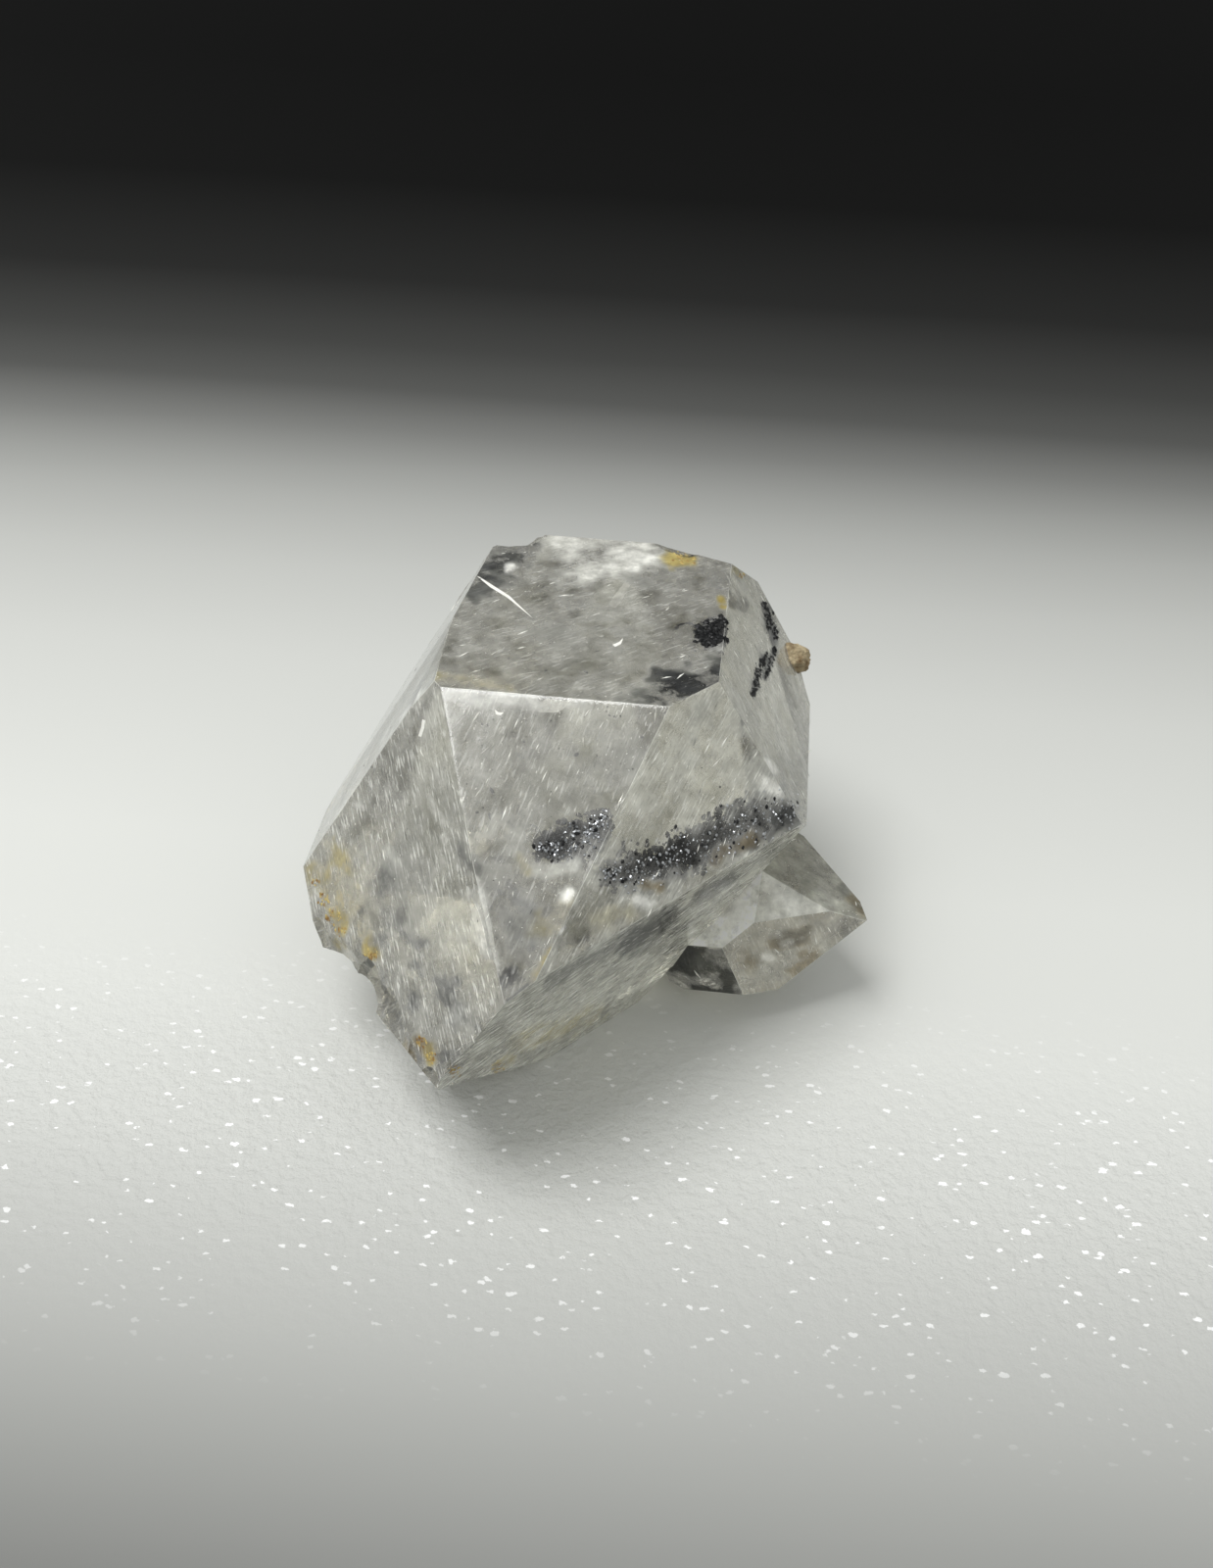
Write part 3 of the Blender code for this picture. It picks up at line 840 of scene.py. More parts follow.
@dataclass
class CrystalShape:
    """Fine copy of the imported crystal, and where things are in it."""

    camera: PhotoCamera
    edge_round_mm: float = 0.045
    hidden_edge_round_mm: float = 0.30
    smallest_flat_mm2: float = 0.6      # a face smaller than this belongs to a chip
    sharp_deg: float = 9.0
    mesh_mm: float = 0.24
    hidden_mesh_mm: float = 0.42
    relief_um: float = 5.0
    relief_mm: tuple[float, float] = (2.6, 0.75)    # along and across the growth lines
    hillock_um: float = 45.0        # growth hillocks and dents on the faces that met the rock
    hillock_mm: float = 1.4

    def __post_init__(self) -> None:
        """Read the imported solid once, for lines of sight."""
        bm = self.merged()
        self.tree = BVHTree.FromBMesh(bm)
        bm.free()

    def merged(self) -> bmesh.types.BMesh:
        """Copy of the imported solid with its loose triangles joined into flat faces."""
        bm = bmesh.new()
        bm.from_mesh(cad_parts[CRYSTAL_NODE].data)
        bmesh.ops.remove_doubles(bm, verts=bm.verts[:], dist=1e-7)
        bmesh.ops.dissolve_limit(
            bm, angle_limit=math.radians(0.3), verts=bm.verts[:], edges=bm.edges[:]
        )
        return bm

    def seen_at(self, pixel: Pixel) -> tuple[Vector, Vector]:
        """Point and normal of the surface that a pixel of the photograph shows.

        Args:
            pixel: Pixel on the crystal.

        Returns:
            The point in metres and the outward normal there.
        """
        hit, normal, _, _ = self.tree.ray_cast(self.camera.place(), self.camera.sight(pixel))
        if hit is None:
            raise ValueError(f"pixel {pixel} is not on the crystal")
        return hit, normal

    def shows(self, pixel: Pixel) -> bool:
        """Whether a pixel of the photograph is on the crystal."""
        return self.tree.ray_cast(self.camera.place(), self.camera.sight(pixel))[0] is not None

    def inside(self, pixel: Pixel, depth_mm: float) -> Vector:
        """Point in the quartz that shows at a pixel of the photograph.

        Args:
            pixel: Pixel on the crystal.
            depth_mm: How far below the surface the point is, straight down from it.

        Returns:
            The point in metres.
        """
        hit, normal = self.seen_at(pixel)
        sight = self.camera.sight(pixel)
        cos_out = -normal.dot(sight)
        bend = 1.0 / QUARTZ_IOR
        cos_in = math.sqrt(1.0 - bend * bend * (1.0 - cos_out * cos_out))
        inward = sight * bend + normal * (bend * cos_out - cos_in)
        return hit + inward * (depth_mm * MM / cos_in)

    def round_edges(self, bm: bmesh.types.BMesh) -> None:
        """Round the edges between large flat faces, more where both faces met the rock."""
        label = self.label(bm)
        edge = bm.faces.layers.int.new("rounded_edge")
        seen = {place for place, face in enumerate(Face) if face in LOOKS}

        def is_flat(face: bmesh.types.BMFace) -> bool:
            return face.calc_area() > self.smallest_flat_mm2 * MM * MM

        edges = [
            e for e in bm.edges
            if len(e.link_faces) == 2 and all(is_flat(f) for f in e.link_faces)
            and math.degrees(e.calc_face_angle()) > self.sharp_deg
        ]
        hidden = [e for e in edges if not any(f[label] in seen or f[label] < 0 for f in e.link_faces)]
        sharp = [e for e in edges if e not in set(hidden)]
        for group, round_mm, segments in (
            (sharp, self.edge_round_mm, 2), (hidden, self.hidden_edge_round_mm, 4),
        ):
            rounded = bmesh.ops.bevel(
                bm, geom=[e for e in group if e.is_valid], offset=round_mm * MM, offset_type="OFFSET",
                segments=segments, profile=0.5, affect="EDGES", clamp_overlap=True, material=-1,
            )
            for item in rounded["faces"]:
                item[edge] = int(group is sharp)
        bm.faces.layers.int.remove(label)

    def refine(self, bm: bmesh.types.BMesh) -> None:
        """Split long edges until the mesh is fine and even."""
        bmesh.ops.triangulate(bm, faces=bm.faces[:], quad_method="BEAUTY", ngon_method="BEAUTY")
        label = self.label(bm)
        seen = {place for place, face in enumerate(Face) if face in LOOKS}
        while True:
            long_edges = [
                e for e in bm.edges if e.calc_length() > MM * (
                    self.mesh_mm if any(f[label] in seen for f in e.link_faces) else self.hidden_mesh_mm
                )
            ]
            if not long_edges:
                return
            bmesh.ops.subdivide_edges(bm, edges=long_edges, cuts=1)
            bmesh.ops.triangulate(
                bm, faces=[f for f in bm.faces if len(f.verts) > 3],
                quad_method="SHORT_EDGE", ngon_method="BEAUTY",
            )

    def label(self, bm: bmesh.types.BMesh) -> bmesh.types.BMLayerItem:
        """Number every mesh face by the crystal face that it lies on, or -1 on broken ground."""
        layer = bm.faces.layers.int.new("crystal_face")
        normals = [(place, face.normal()) for place, face in enumerate(Face)]
        for item in bm.faces:
            place, normal = max(normals, key=lambda pair: pair[1].dot(item.normal))
            item[layer] = place if normal.dot(item.normal) > 0.996 else -1
        return layer

    def faces_of(self, bm: bmesh.types.BMesh) -> list[Face | None]:
        """Crystal face that each triangle lies on, or None on broken ground."""
        layer, members = bm.faces.layers.int["crystal_face"], list(Face)
        return [members[item[layer]] if item[layer] >= 0 else None for item in bm.faces]

    def growth_map(self, bm: bmesh.types.BMesh, faces: list[Face | None]) -> None:
        """Lay a UV map in millimetres, its first axis along each face's growth lines."""
        directions = {face: lines_along(face, self.camera) for face in Face}
        order = {face: 31.7 * place for place, face in enumerate(Face)}
        long_axis = Crystal.LARGE.turn() @ Vector((0.0, 0.0, 1.0))
        uv = bm.loops.layers.uv.new("growth_lines")
        for triangle, face in zip(bm.faces, faces):
            along = directions[face] if face else triangle.normal.cross(long_axis).normalized()
            across = triangle.normal.cross(along)
            shift = order[face] if face else 0.0
            for loop in triangle.loops:
                place = loop.vert.co / MM
                loop[uv].uv = (place.dot(along) + shift, place.dot(across) + shift)

    def relief(self, vert: bmesh.types.BMVert, face: Face) -> Vector:
        """How far the growth lines of a face lift a point of it."""
        place, normal, along = vert.co / MM, face.normal(), lines_along(face, self.camera)
        wave = noise.noise(Vector((
            place.dot(along) / self.relief_mm[0],
            place.dot(normal.cross(along)) / self.relief_mm[1],
            normal.x * 9.0,
        )))
        return normal * (wave * self.relief_um * 1e-6)

    def hillocks(self, vert: bmesh.types.BMVert, resting: bool) -> Vector:
        """How far growth hillocks and dents move a point of a hidden face.

        Args:
            vert: The point.
            resting: Whether it is on the face that the crystal lies on, which only has dents.

        Returns:
            The move in metres.
        """
        wave = noise.fractal(vert.co / (self.hillock_mm * MM), 0.9, 2.2, 3)
        lift = min(wave, 0.0) if resting else wave
        return vert.normal * (lift * self.hillock_um * 1e-6)

    def weather(self, bm: bmesh.types.BMesh, faces: list[Face | None]) -> None:
        """Give the faces their relief, and every point the roughness of the faces around it."""
        around: list[set[Face | None]] = [set() for _ in bm.verts]
        for triangle, face in zip(bm.faces, faces):
            for vert in triangle.verts:
                around[vert.index].add(face)
        frost = bm.verts.layers.float.new("frost")
        for vert, near in zip(bm.verts, around):
            vert[frost] = sum(look_of(face).frost for face in near) / len(near)
            if None in near or any(face.value[0] is Crystal.SMALL for face in near):
                continue
            if not any(face in LOOKS for face in near):
                vert.co += self.hillocks(vert, Face.UNDER in near)
            elif len(near) == 1:
                vert.co += self.relief(vert, next(iter(near)))

    def build(self, material: bpy.types.Material) -> tuple[bpy.types.Object, list[Face | None]]:
        """Make the fine crystal.

        Args:
            material: Finish of the quartz.

        Returns:
            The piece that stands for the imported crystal, and the face of each of its triangles.
        """
        bm = self.merged()
        self.round_edges(bm)
        self.refine(bm)
        bm.normal_update()
        bm.verts.index_update()
        faces = self.faces_of(bm)
        self.growth_map(bm, faces)
        self.weather(bm, faces)
        crystal = object_from("quartz_crystal", bm, material)
        crystal.data.shade_smooth()
        crystal.data.set_sharp_from_angle(angle=math.radians(self.sharp_deg))
        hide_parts(CRYSTAL_NODE)
        return crystal, faces


@dataclass
class SurfacePainter:
    """Puts the look of its face and the marks on every corner of the fine crystal."""

    camera: PhotoCamera
    coarse_mm: float = 1.5
    fine_mm: float = 0.45
    raggedness: float = 1.1
    reach: float = 1.5          # where a mark ends, in half widths of the mark
    rim: float = 1.3            # how wide its soft rim is
    hides: float = 0.85         # share of the silk and growth lines that a mark hides

    def ragged(self, points: np.ndarray) -> np.ndarray:
        """Uneven value for each point, mostly from -0.5 to 0.5."""
        return np.array([
            0.45 * noise.noise(Vector(point) / (self.coarse_mm * MM))
            + 0.55 * noise.noise(Vector(point) / (self.fine_mm * MM))
            for point in points
        ])

    def cover(self, mark: Mark, pixels: np.ndarray, ragged: np.ndarray) -> np.ndarray:
        """How far a mark covers each point.

        Args:
            mark: The mark.
            pixels: Where each point shows in the photograph.
            ragged: Uneven value of each point.

        Returns:
            Shares from 0 to the mark's strength.
        """
        start, end = np.array(mark.start_px), np.array(mark.end_px)
        span = end - start
        along = np.clip((pixels - start) @ span / max(span @ span, 1e-9), 0.0, 1.0)
        distance = np.linalg.norm(pixels - start - along[:, None] * span, axis=1)
        inside = self.reach - distance / mark.half_px + self.raggedness * ragged
        inside = np.clip(inside / self.rim, 0.0, 1.0)
        return mark.strength * inside * inside * (3.0 - 2.0 * inside)

    def paint(self, crystal: bpy.types.Object, faces: list[Face | None]) -> None:
        """Write the surface attributes, and the veil colour with its painted light and shade.

        Args:
            crystal: The fine crystal, all triangles.
            faces: The face that each triangle lies on.
        """
        mesh = crystal.data
        points = np.empty(3 * len(mesh.vertices))
        mesh.vertices.foreach_get("co", points)
        points = points.reshape(-1, 3)
        corners = np.empty(len(mesh.loops), dtype=int)
        mesh.loops.foreach_get("vertex_index", corners)
        pixels = self.camera.pixels(points)[corners]
        ragged = self.ragged(points)[corners]
        surface = np.empty((len(corners), 4))
        veil_and_painted_light = np.ones((len(corners), 4))
        order = {face: number for number, face in enumerate(Face)}
        owners = np.repeat(np.array([order.get(face, -1) for face in faces]), 3)
        for number, face in [(-1, None), *enumerate(Face)]:
            here = owners == number
            look = look_of(face)
            # Each face's veil and its colour, partly painted light and shade.
            surface[here] = look.strengths()
            veil_and_painted_light[here] = linear(look.veil_and_painted_light_hex)
            # Marks lay their painted light and shade, iron stain and clearer veil over the face's look.
            for mark in STAIN_AND_PAINTED_LIGHT_MARKS.get(face, ()):
                share = self.cover(mark, pixels[here], ragged[here])[:, None]
                veil = surface[here, :1]
                surface[here, :1] = veil + (mark.tint.value[1] - veil) * share
                surface[here, 1:3] *= 1.0 - self.hides * share
                root = np.sqrt(veil_and_painted_light[here])
                veil_and_painted_light[here] = (root + (np.sqrt(linear(mark.tint.value[0])) - root) * share) ** 2
        # The rounded edges between seen faces are painted bright, a painted highlight.
        edge = np.empty(len(mesh.polygons), dtype=np.int32)
        mesh.attributes["rounded_edge"].data.foreach_get("value", edge)
        here = np.repeat(edge > 0, 3)
        surface[here] = ROUNDED_EDGE_PAINTED_HIGHLIGHT.strengths()
        veil_and_painted_light[here] = linear(ROUNDED_EDGE_PAINTED_HIGHLIGHT.veil_and_painted_light_hex)
        for name, values in (("surface", surface), ("veil_and_painted_light", veil_and_painted_light)):
            layer = mesh.attributes.new(name, "FLOAT_COLOR", "CORNER")
            layer.data.foreach_set("color", values.ravel().astype(np.float32))


@dataclass(frozen=True)
class GrainBand:
    """A band of grains, by the line that it follows in the photograph."""

    name: str
    line_px: tuple[tuple[float, float, float], ...]     # x, y and half width at each point
    depth_mm: tuple[float, float]
    count: int
    radius_mm: tuple[float, float]
    glints: float = 0.0     # share of silvery cavities among the grains


@dataclass
class BlackGrains:
    """Grains of anthraxolite in the quartz, with silvery cavities between them."""

    shape: CrystalShape
    seed: int = 11
    ragged: float = 0.32        # spread of a band's outline, as a share of its half width
    glint_depth: float = 0.25   # glints lie this share of the shallowest grain's depth down
    glint_size: float = 0.6
    bands: tuple[GrainBand, ...] = (
        GrainBand(
            "anthraxolite_patch_top",
            ((737, 636, 5), (725, 640, 9), (719, 648, 9), (728, 655, 8), (736, 650, 5)),
            (0.02, 0.20), 900, (0.07, 0.16),
        ),
        GrainBand(
            "anthraxolite_trail_top",
            ((688, 643, 1.0), (693, 638, 1.0), (699, 636, 1.0), (705, 636.5, 1.5), (712, 640, 3)),
            (0.12, 0.2), 90, (0.03, 0.06),
        ),
        GrainBand(
            "anthraxolite_cluster_left",
            ((550, 866, 5), (565, 864, 12), (585, 860, 18), (603, 853, 16), (611, 842, 10), (617, 831, 5)),
            (0.06, 0.5), 2200, (0.04, 0.14), 0.08,
        ),
        GrainBand(
            "anthraxolite_cluster_right",
            ((617, 893, 6), (628, 893, 13), (645, 890, 18), (672, 884, 19), (700, 870, 18), (722, 859, 18),
             (752, 845, 21), (776, 832, 22), (795, 824, 20), (804, 832, 11)),
            (0.06, 0.6), 4400, (0.04, 0.14), 0.07,
        ),
        GrainBand(
            "anthraxolite_streak_right_1",
            ((768, 710, 1.5), (772, 696, 4), (777, 678, 4), (782, 668, 1.5)),
            (0.02, 0.15), 300, (0.06, 0.12),
        ),
        GrainBand(
            "anthraxolite_streak_right_2",
            ((780, 694, 1.5), (784, 683, 3), (788, 670, 3), (790, 661, 1.0)),
            (0.02, 0.15), 200, (0.06, 0.12),
        ),
        GrainBand(
            "anthraxolite_lens_right",
            ((779, 616, 2), (784, 628, 4), (788, 642, 5), (791, 652, 2)),
            (0.02, 0.15), 330, (0.06, 0.13),
        ),
    )

    def band(self, band: GrainBand, rng: np.random.Generator) -> list[Matrix]:
        """Places of the grains of one band."""
        line = np.array(band.line_px)
        steps = np.hypot(*np.diff(line[:, :2], axis=0).T)
        reach = np.concatenate([[0.0], np.cumsum(steps)])
        places, (shallow, deep) = [], band.depth_mm
        while len(places) < band.count:
            is_glint = len(places) < int(band.glints * band.count)
            at = rng.uniform(0.0, reach[-1])
            x, y, half = (np.interp(at, reach, line[:, k]) for k in range(3))
            angle = rng.uniform(0.0, 2.0 * math.pi)
            spread = half * math.sqrt(rng.uniform()) * (1.0 + self.ragged * rng.normal())
            pixel = (x + spread * math.cos(angle), y + spread * math.sin(angle))
            if not self.shape.shows(pixel):
                continue
            depth = self.glint_depth * shallow if is_glint else rng.uniform(shallow, deep)
            place = self.shape.inside(pixel, depth)
            size = rng.uniform(*band.radius_mm) * (self.glint_size if is_glint else 1.0) * MM
            turn = Quaternion(rng.normal(size=4)).normalized().to_matrix().to_4x4()
            stretch = Matrix.Diagonal((*(size * rng.uniform(0.55, 1.2, 3)), 1.0))
            places.append(Matrix.Translation(place) @ turn @ stretch)
        return places

    def build(
        self, black: bpy.types.Material, silver: bpy.types.Material
    ) -> tuple[list[bpy.types.Object], list[bpy.types.Object]]:
        """Make the grains and the glints between them.

        Args:
            black: Finish of the grains.
            silver: Finish of the cavities that glint between them.

        Returns:
            One piece of grains for each band, and one of glints for each band that has any.
        """
        rng = np.random.default_rng(self.seed)
        grains, glints = [], []
        for band in self.bands:
            places = self.band(band, rng)
            bright = int(band.glints * len(places))
            for name, chosen, material, pieces in (
                (band.name, places[bright:], black, grains),
                (f"{band.name}_glints", places[:bright], silver, glints),
            ):
                if chosen:
                    chip = bmesh.new()
                    bmesh.ops.create_icosphere(chip, subdivisions=1, radius=1.0)
                    pieces.append(joined_copies(name, chip, chosen, material))
        return grains, glints


@dataclass
class Specks:
    """Single black specks and dashes: pixel, length and width in pixels, slope in degrees. Dashes of the same
    black along the bubble rims are painted shade.
    """

    shape: CrystalShape
    depth_mm: float = 0.16
    specks: tuple[tuple[Pixel, float, float, float], ...] = (
        ((757, 738), 8, 3, -58), ((636, 866), 10, 6, 80), ((636, 860), 6, 5, 20), ((502, 807), 9, 3.5, -60),
        ((487, 829), 4, 3, 0), ((500, 833), 8, 3.5, -80), ((513, 832), 9, 4, -75), ((520, 839), 5, 3, -60),
        ((524, 843), 6, 3, -45), ((546, 594), 3, 2, 0), ((577, 597), 4, 2, -40), ((735, 600), 7, 4, 0),
        ((709, 664), 5, 3, -30), ((735, 665), 7, 3, 60), ((733, 661), 5, 2, 30), ((557, 684), 3.5, 3, 0),
        ((519, 672), 3, 2, 0), ((598, 686), 6, 3, -40), ((545, 632), 4, 2.5, 0), ((769, 706), 4, 4, 0),
        ((763, 653), 3, 2, 30), ((779, 676), 4, 2, 50), ((743, 919), 5, 3.5, 20), ((749, 928), 5, 4, 0),
        ((755, 926), 5, 3.5, 45), ((761, 915), 2.5, 2.5, 0), ((735, 945), 2, 2, 0), ((747, 912), 8, 2, 42),
        ((620, 721), 3, 1.5, 80), ((619, 726), 3, 1.5, -80), ((622, 730), 3.5, 1.5, -35),
        ((627, 731), 3, 1.5, 0),
        ((492, 739), 2.5, 2, 0), ((498, 740), 2, 2, 0), ((512, 733), 2, 2, 0), ((489, 755), 3, 2, 40),
        ((535, 757), 3, 2, 0), ((588, 770), 6, 4, 30), ((496, 748), 2.5, 1.5, 40), ((379, 783), 5, 2, 10),
        ((754, 817), 7, 6, 0), ((757, 823), 6, 4, 50), ((655, 752), 4, 3, 0), ((709, 757), 9, 2, 70),
        ((735, 803), 3, 2, 0), ((668, 867), 5, 4, 0), ((706, 756), 5, 2, 60),
    )
    lump: tuple[Pixel, float, float, float] = ((672, 894), 22, 13, -5)
    # Bubble rims painted dark: painted shade along the wall of each bubble.
    rims: tuple[tuple[Pixel, float], ...] = (((609, 888), 12.0), ((541, 853), 11.0))
    rim_angles_deg: tuple[float, ...] = (20.0, 48.0, 76.0, 104.0, 132.0, 160.0)
    rim_dash_px: tuple[float, float] = (6.5, 1.8)

    def place(self, pixel: Pixel, length_px: float, width_px: float, slope_deg: float) -> Matrix:
        """Matrix of a speck that shows with this size and slope."""
        camera = self.shape.camera
        middle = self.shape.inside(pixel, self.depth_mm + 0.02 * width_px)
        right, up, into = camera.axes()
        slope = math.radians(slope_deg)
        along = right * math.cos(slope) + up * math.sin(slope)
        across = up * math.cos(slope) - right * math.sin(slope)
        scale = (middle - camera.place()).length / camera.focal_px / 2
        turn = Matrix((along, across, -into)).transposed().to_4x4()
        size = Matrix.Diagonal((length_px * scale, width_px * scale, width_px * scale, 1.0))
        return Matrix.Translation(middle) @ turn @ size

    def painted_bubble_rim_shade(self) -> list[Matrix]:
        """Painted shade: dark dashes along the upper rim of each bubble, where its wall looks dark."""
        return [
            self.place(
                (x + radius * math.cos(math.radians(angle)), y - radius * math.sin(math.radians(angle))),
                *self.rim_dash_px, angle + 90.0,
            )
            for (x, y), radius in self.rims for angle in self.rim_angles_deg
        ]

    def build(self, material: bpy.types.Material) -> bpy.types.Object:
        """Make all specks and the painted shade of the bubble rims as one piece."""
        ball = bmesh.new()
        bmesh.ops.create_icosphere(ball, subdivisions=2, radius=1.0)
        places = [self.place(*speck) for speck in (*self.specks, self.lump)] + self.painted_bubble_rim_shade()
        return joined_copies("anthraxolite_specks_and_painted_bubble_rims", ball, places, material)


@dataclass
class Veils:
    """Small bright healed cracks with clear outlines, by their outline in the photograph."""

    shape: CrystalShape
    thickness_mm: float = 0.02
    outlines: tuple[tuple[float, tuple[Pixel, ...]], ...] = (     # depth in mm, outline
        (0.05, ((455, 704), (500, 708), (551, 711), (543, 716), (531, 713), (519, 720), (507, 712),
                (495, 720), (481, 714), (467, 721), (458, 712))),
        (0.05, ((557, 713), (601, 716), (592, 723), (579, 720), (570, 727), (550, 727), (549, 721))),
        (0.04, ((641, 589), (646, 592), (640, 603), (634, 614), (628, 620), (621, 618), (625, 610),
                (633, 600))),
        (-0.002, ((487, 588), (490, 589), (520, 608), (544, 631), (518, 610), (500, 599))),
        (-0.002, ((484, 902), (493, 907), (498, 930), (504, 958), (506, 984), (499, 976), (494, 952),
                (488, 930), (481, 916))),
        (-0.004, ((431, 734), (434, 735), (433, 743), (430, 752), (427, 751), (430, 742))),
        (0.08, ((645, 917), (655, 912), (664, 917), (669, 926), (659, 930), (649, 926))),
        (0.08, ((570, 911), (579, 905), (585, 912), (583, 922), (574, 923))),
        (-0.004, ((625, 658), (632, 655), (636, 651), (634, 657), (628, 660))),
        (-0.004, ((505, 724), (509, 727), (514, 727), (511, 730), (506, 729))),
    )

    def build(self, material: bpy.types.Material) -> bpy.types.Object:
        """Make the veils as one piece of thin closed plates."""
        bm = bmesh.new()
        for depth, outline in self.outlines:
            rings = [
                [bm.verts.new(self.shape.inside(pixel, depth + sink)) for pixel in outline]
                for sink in (0.0, self.thickness_mm)
            ]
            plates = [bm.faces.new(rings[0]), bm.faces.new(list(reversed(rings[1])))]
            for k in range(len(outline)):
                nxt = (k + 1) % len(outline)
                bm.faces.new((rings[0][nxt], rings[0][k], rings[1][k], rings[1][nxt]))
            bmesh.ops.triangulate(bm, faces=plates)
        bmesh.ops.recalc_face_normals(bm, faces=bm.faces[:])
        return object_from("bright_veils", bm, material)


@dataclass
class StainCrusts:
    """Earthy crusts of iron oxide in the chips: pixel, radius in pixels and number of lumps."""

    shape: CrystalShape
    seed: int = 31
    crusts: tuple[tuple[Pixel, float, int], ...] = (
        ((330, 918), 7, 26), ((340, 936), 8, 34), ((348, 950), 6, 20), ((379, 973), 7, 30),
        ((322, 900), 4, 10), ((430, 1064), 6, 22), ((441, 1079), 6, 22), ((466, 1094), 7, 26),
        ((508, 1088), 7, 22), ((694, 570), 8, 26), ((706, 573), 5, 12), ((757, 587), 3, 8),
    )
    lump_mm: tuple[float, float] = (0.03, 0.10)

    def build(self, material: bpy.types.Material) -> bpy.types.Object:
        """Make the crusts as one piece."""
        rng = np.random.default_rng(self.seed)
        places = []
        for (x, y), radius, count in self.crusts:
            for _ in range(count):
                angle, spread = rng.uniform(0.0, 2.0 * math.pi), radius * math.sqrt(rng.uniform())
                pixel = (x + spread * math.cos(angle), y + spread * math.sin(angle))
                if not self.shape.shows(pixel):
                    continue
                point, normal = self.shape.seen_at(pixel)
                size = rng.uniform(*self.lump_mm) * MM
                flat = normal.to_track_quat("Z", "Y").to_matrix().to_4x4()
                places.append(
                    Matrix.Translation(point - normal * size * 0.25) @ flat
                    @ Matrix.Diagonal((size, size * rng.uniform(0.6, 1.0), size * 0.45, 1.0))
                )
        lump = bmesh.new()
        bmesh.ops.create_icosphere(lump, subdivisions=2, radius=1.0)
        return joined_copies("iron_stain_crusts", lump, places, material)


@dataclass
class Flecks:
    """Short thin flecks that lie just under the faces, along their growth lines."""

    name: str
    camera: PhotoCamera
    per_mm2: float
    seed: int
    length_mm: tuple[float, float] = (0.12, 0.75)
    depth_mm: tuple[float, float] = (0.03, 0.7)
    thickness: float = 0.13
    swing: float = 0.22         # spread of their directions, in radians
    tilt: float = 0.9           # and how far they tilt about their own length
    least_width_mm: float = 0.03

    def places(self, crystal: bpy.types.Object, faces: list[Face | None]) -> list[Matrix]:
        """Places of the flecks under all faces.

        Args:
            crystal: The fine crystal.
            faces: The face that each of its triangles lies on.

        Returns:
            One matrix for each fleck.
        """
        rng = np.random.default_rng(self.seed)
        normals = {face: face.normal() for face in Face}
        directions = {face: lines_along(face, self.camera) for face in Face}
        found = []
        for polygon, face in zip(crystal.data.polygons, faces):
            if face is None:
                continue
            want = polygon.area / (MM * MM) * self.per_mm2 * look_of(face).flecks
            for _ in range(rng.poisson(want)):
                depth = self.depth_mm[0] + (self.depth_mm[1] - self.depth_mm[0]) * rng.uniform() ** 2
                place = polygon.center - normals[face] * (depth * MM)
                swing = Matrix.Rotation(rng.normal(0.0, self.swing), 3, normals[face])
                along = swing @ directions[face]
                across = normals[face].cross(along)
                turn = Matrix((along, across, normals[face])).transposed().to_4x4()
                tilt = Matrix.Rotation(rng.uniform(-self.tilt, self.tilt), 4, "X")
                length = rng.uniform() ** 3 * (self.length_mm[1] - self.length_mm[0]) + self.length_mm[0]
                width = max(length * self.thickness * rng.uniform(0.5, 1.3), self.least_width_mm)
                size = Matrix.Diagonal((length / 2 * MM, width / 2 * MM, width / 4 * MM, 1.0))
                found.append(Matrix.Translation(place) @ turn @ tilt @ size)
        return found

    def build(
        self, crystal: bpy.types.Object, faces: list[Face | None], material: bpy.types.Material
    ) -> bpy.types.Object:
        """Make all flecks as one piece."""
        spindle = bmesh.new()
        bmesh.ops.create_uvsphere(spindle, u_segments=4, v_segments=2, radius=1.0)
        bmesh.ops.rotate(
            spindle, verts=spindle.verts[:], cent=(0, 0, 0), matrix=Matrix.Rotation(math.pi / 2, 3, "Y")
        )
        return joined_copies(self.name, spindle, self.places(crystal, faces), material)


@dataclass
class Bubbles:
    """Round gas bubbles in the quartz: pixel, depth and radius of each."""

    shape: CrystalShape
    bubbles: tuple[tuple[Pixel, float, float], ...] = (
        ((610, 885), 0.8, 0.33),
        ((542, 851), 0.9, 0.30),
        ((577, 915), 1.2, 0.17),
        ((655, 921), 0.8, 0.15),
    )

    def build(self, material: bpy.types.Material) -> bpy.types.Object:
        """Make the bubbles as one piece."""
        bm = bmesh.new()
        for pixel, depth, radius in self.bubbles:
            place = Matrix.Translation(self.shape.inside(pixel, depth + radius))
            bmesh.ops.create_uvsphere(bm, u_segments=32, v_segments=20, radius=radius * MM, matrix=place)
        bubbles = object_from("fluid_bubbles", bm, material)
        bubbles.data.shade_smooth()
        return bubbles


@dataclass
class RockGrain:
    """Brown rock grain that sticks to the right back edge."""

    middle_mm: tuple[float, float, float] = (7.53, 5.99, 12.25)
    half_size_mm: tuple[float, float, float] = (0.80, 0.64, 0.70)
    roughness: float = 0.16

    def build(self, material: bpy.types.Material) -> bpy.types.Object:
        """Make the grain."""
        bm = bmesh.new()
        bmesh.ops.create_icosphere(bm, subdivisions=5, radius=1.0)
        middle = Vector(self.middle_mm)
        for vert in bm.verts:
            bumps = noise.fractal(vert.co * 1.6 + middle, 0.7, 2.0, 5)
            reach = 1.0 + self.roughness * bumps
            vert.co = (middle + Vector(self.half_size_mm) * vert.co * reach) * MM
        return object_from("rock_grain", bm, material)


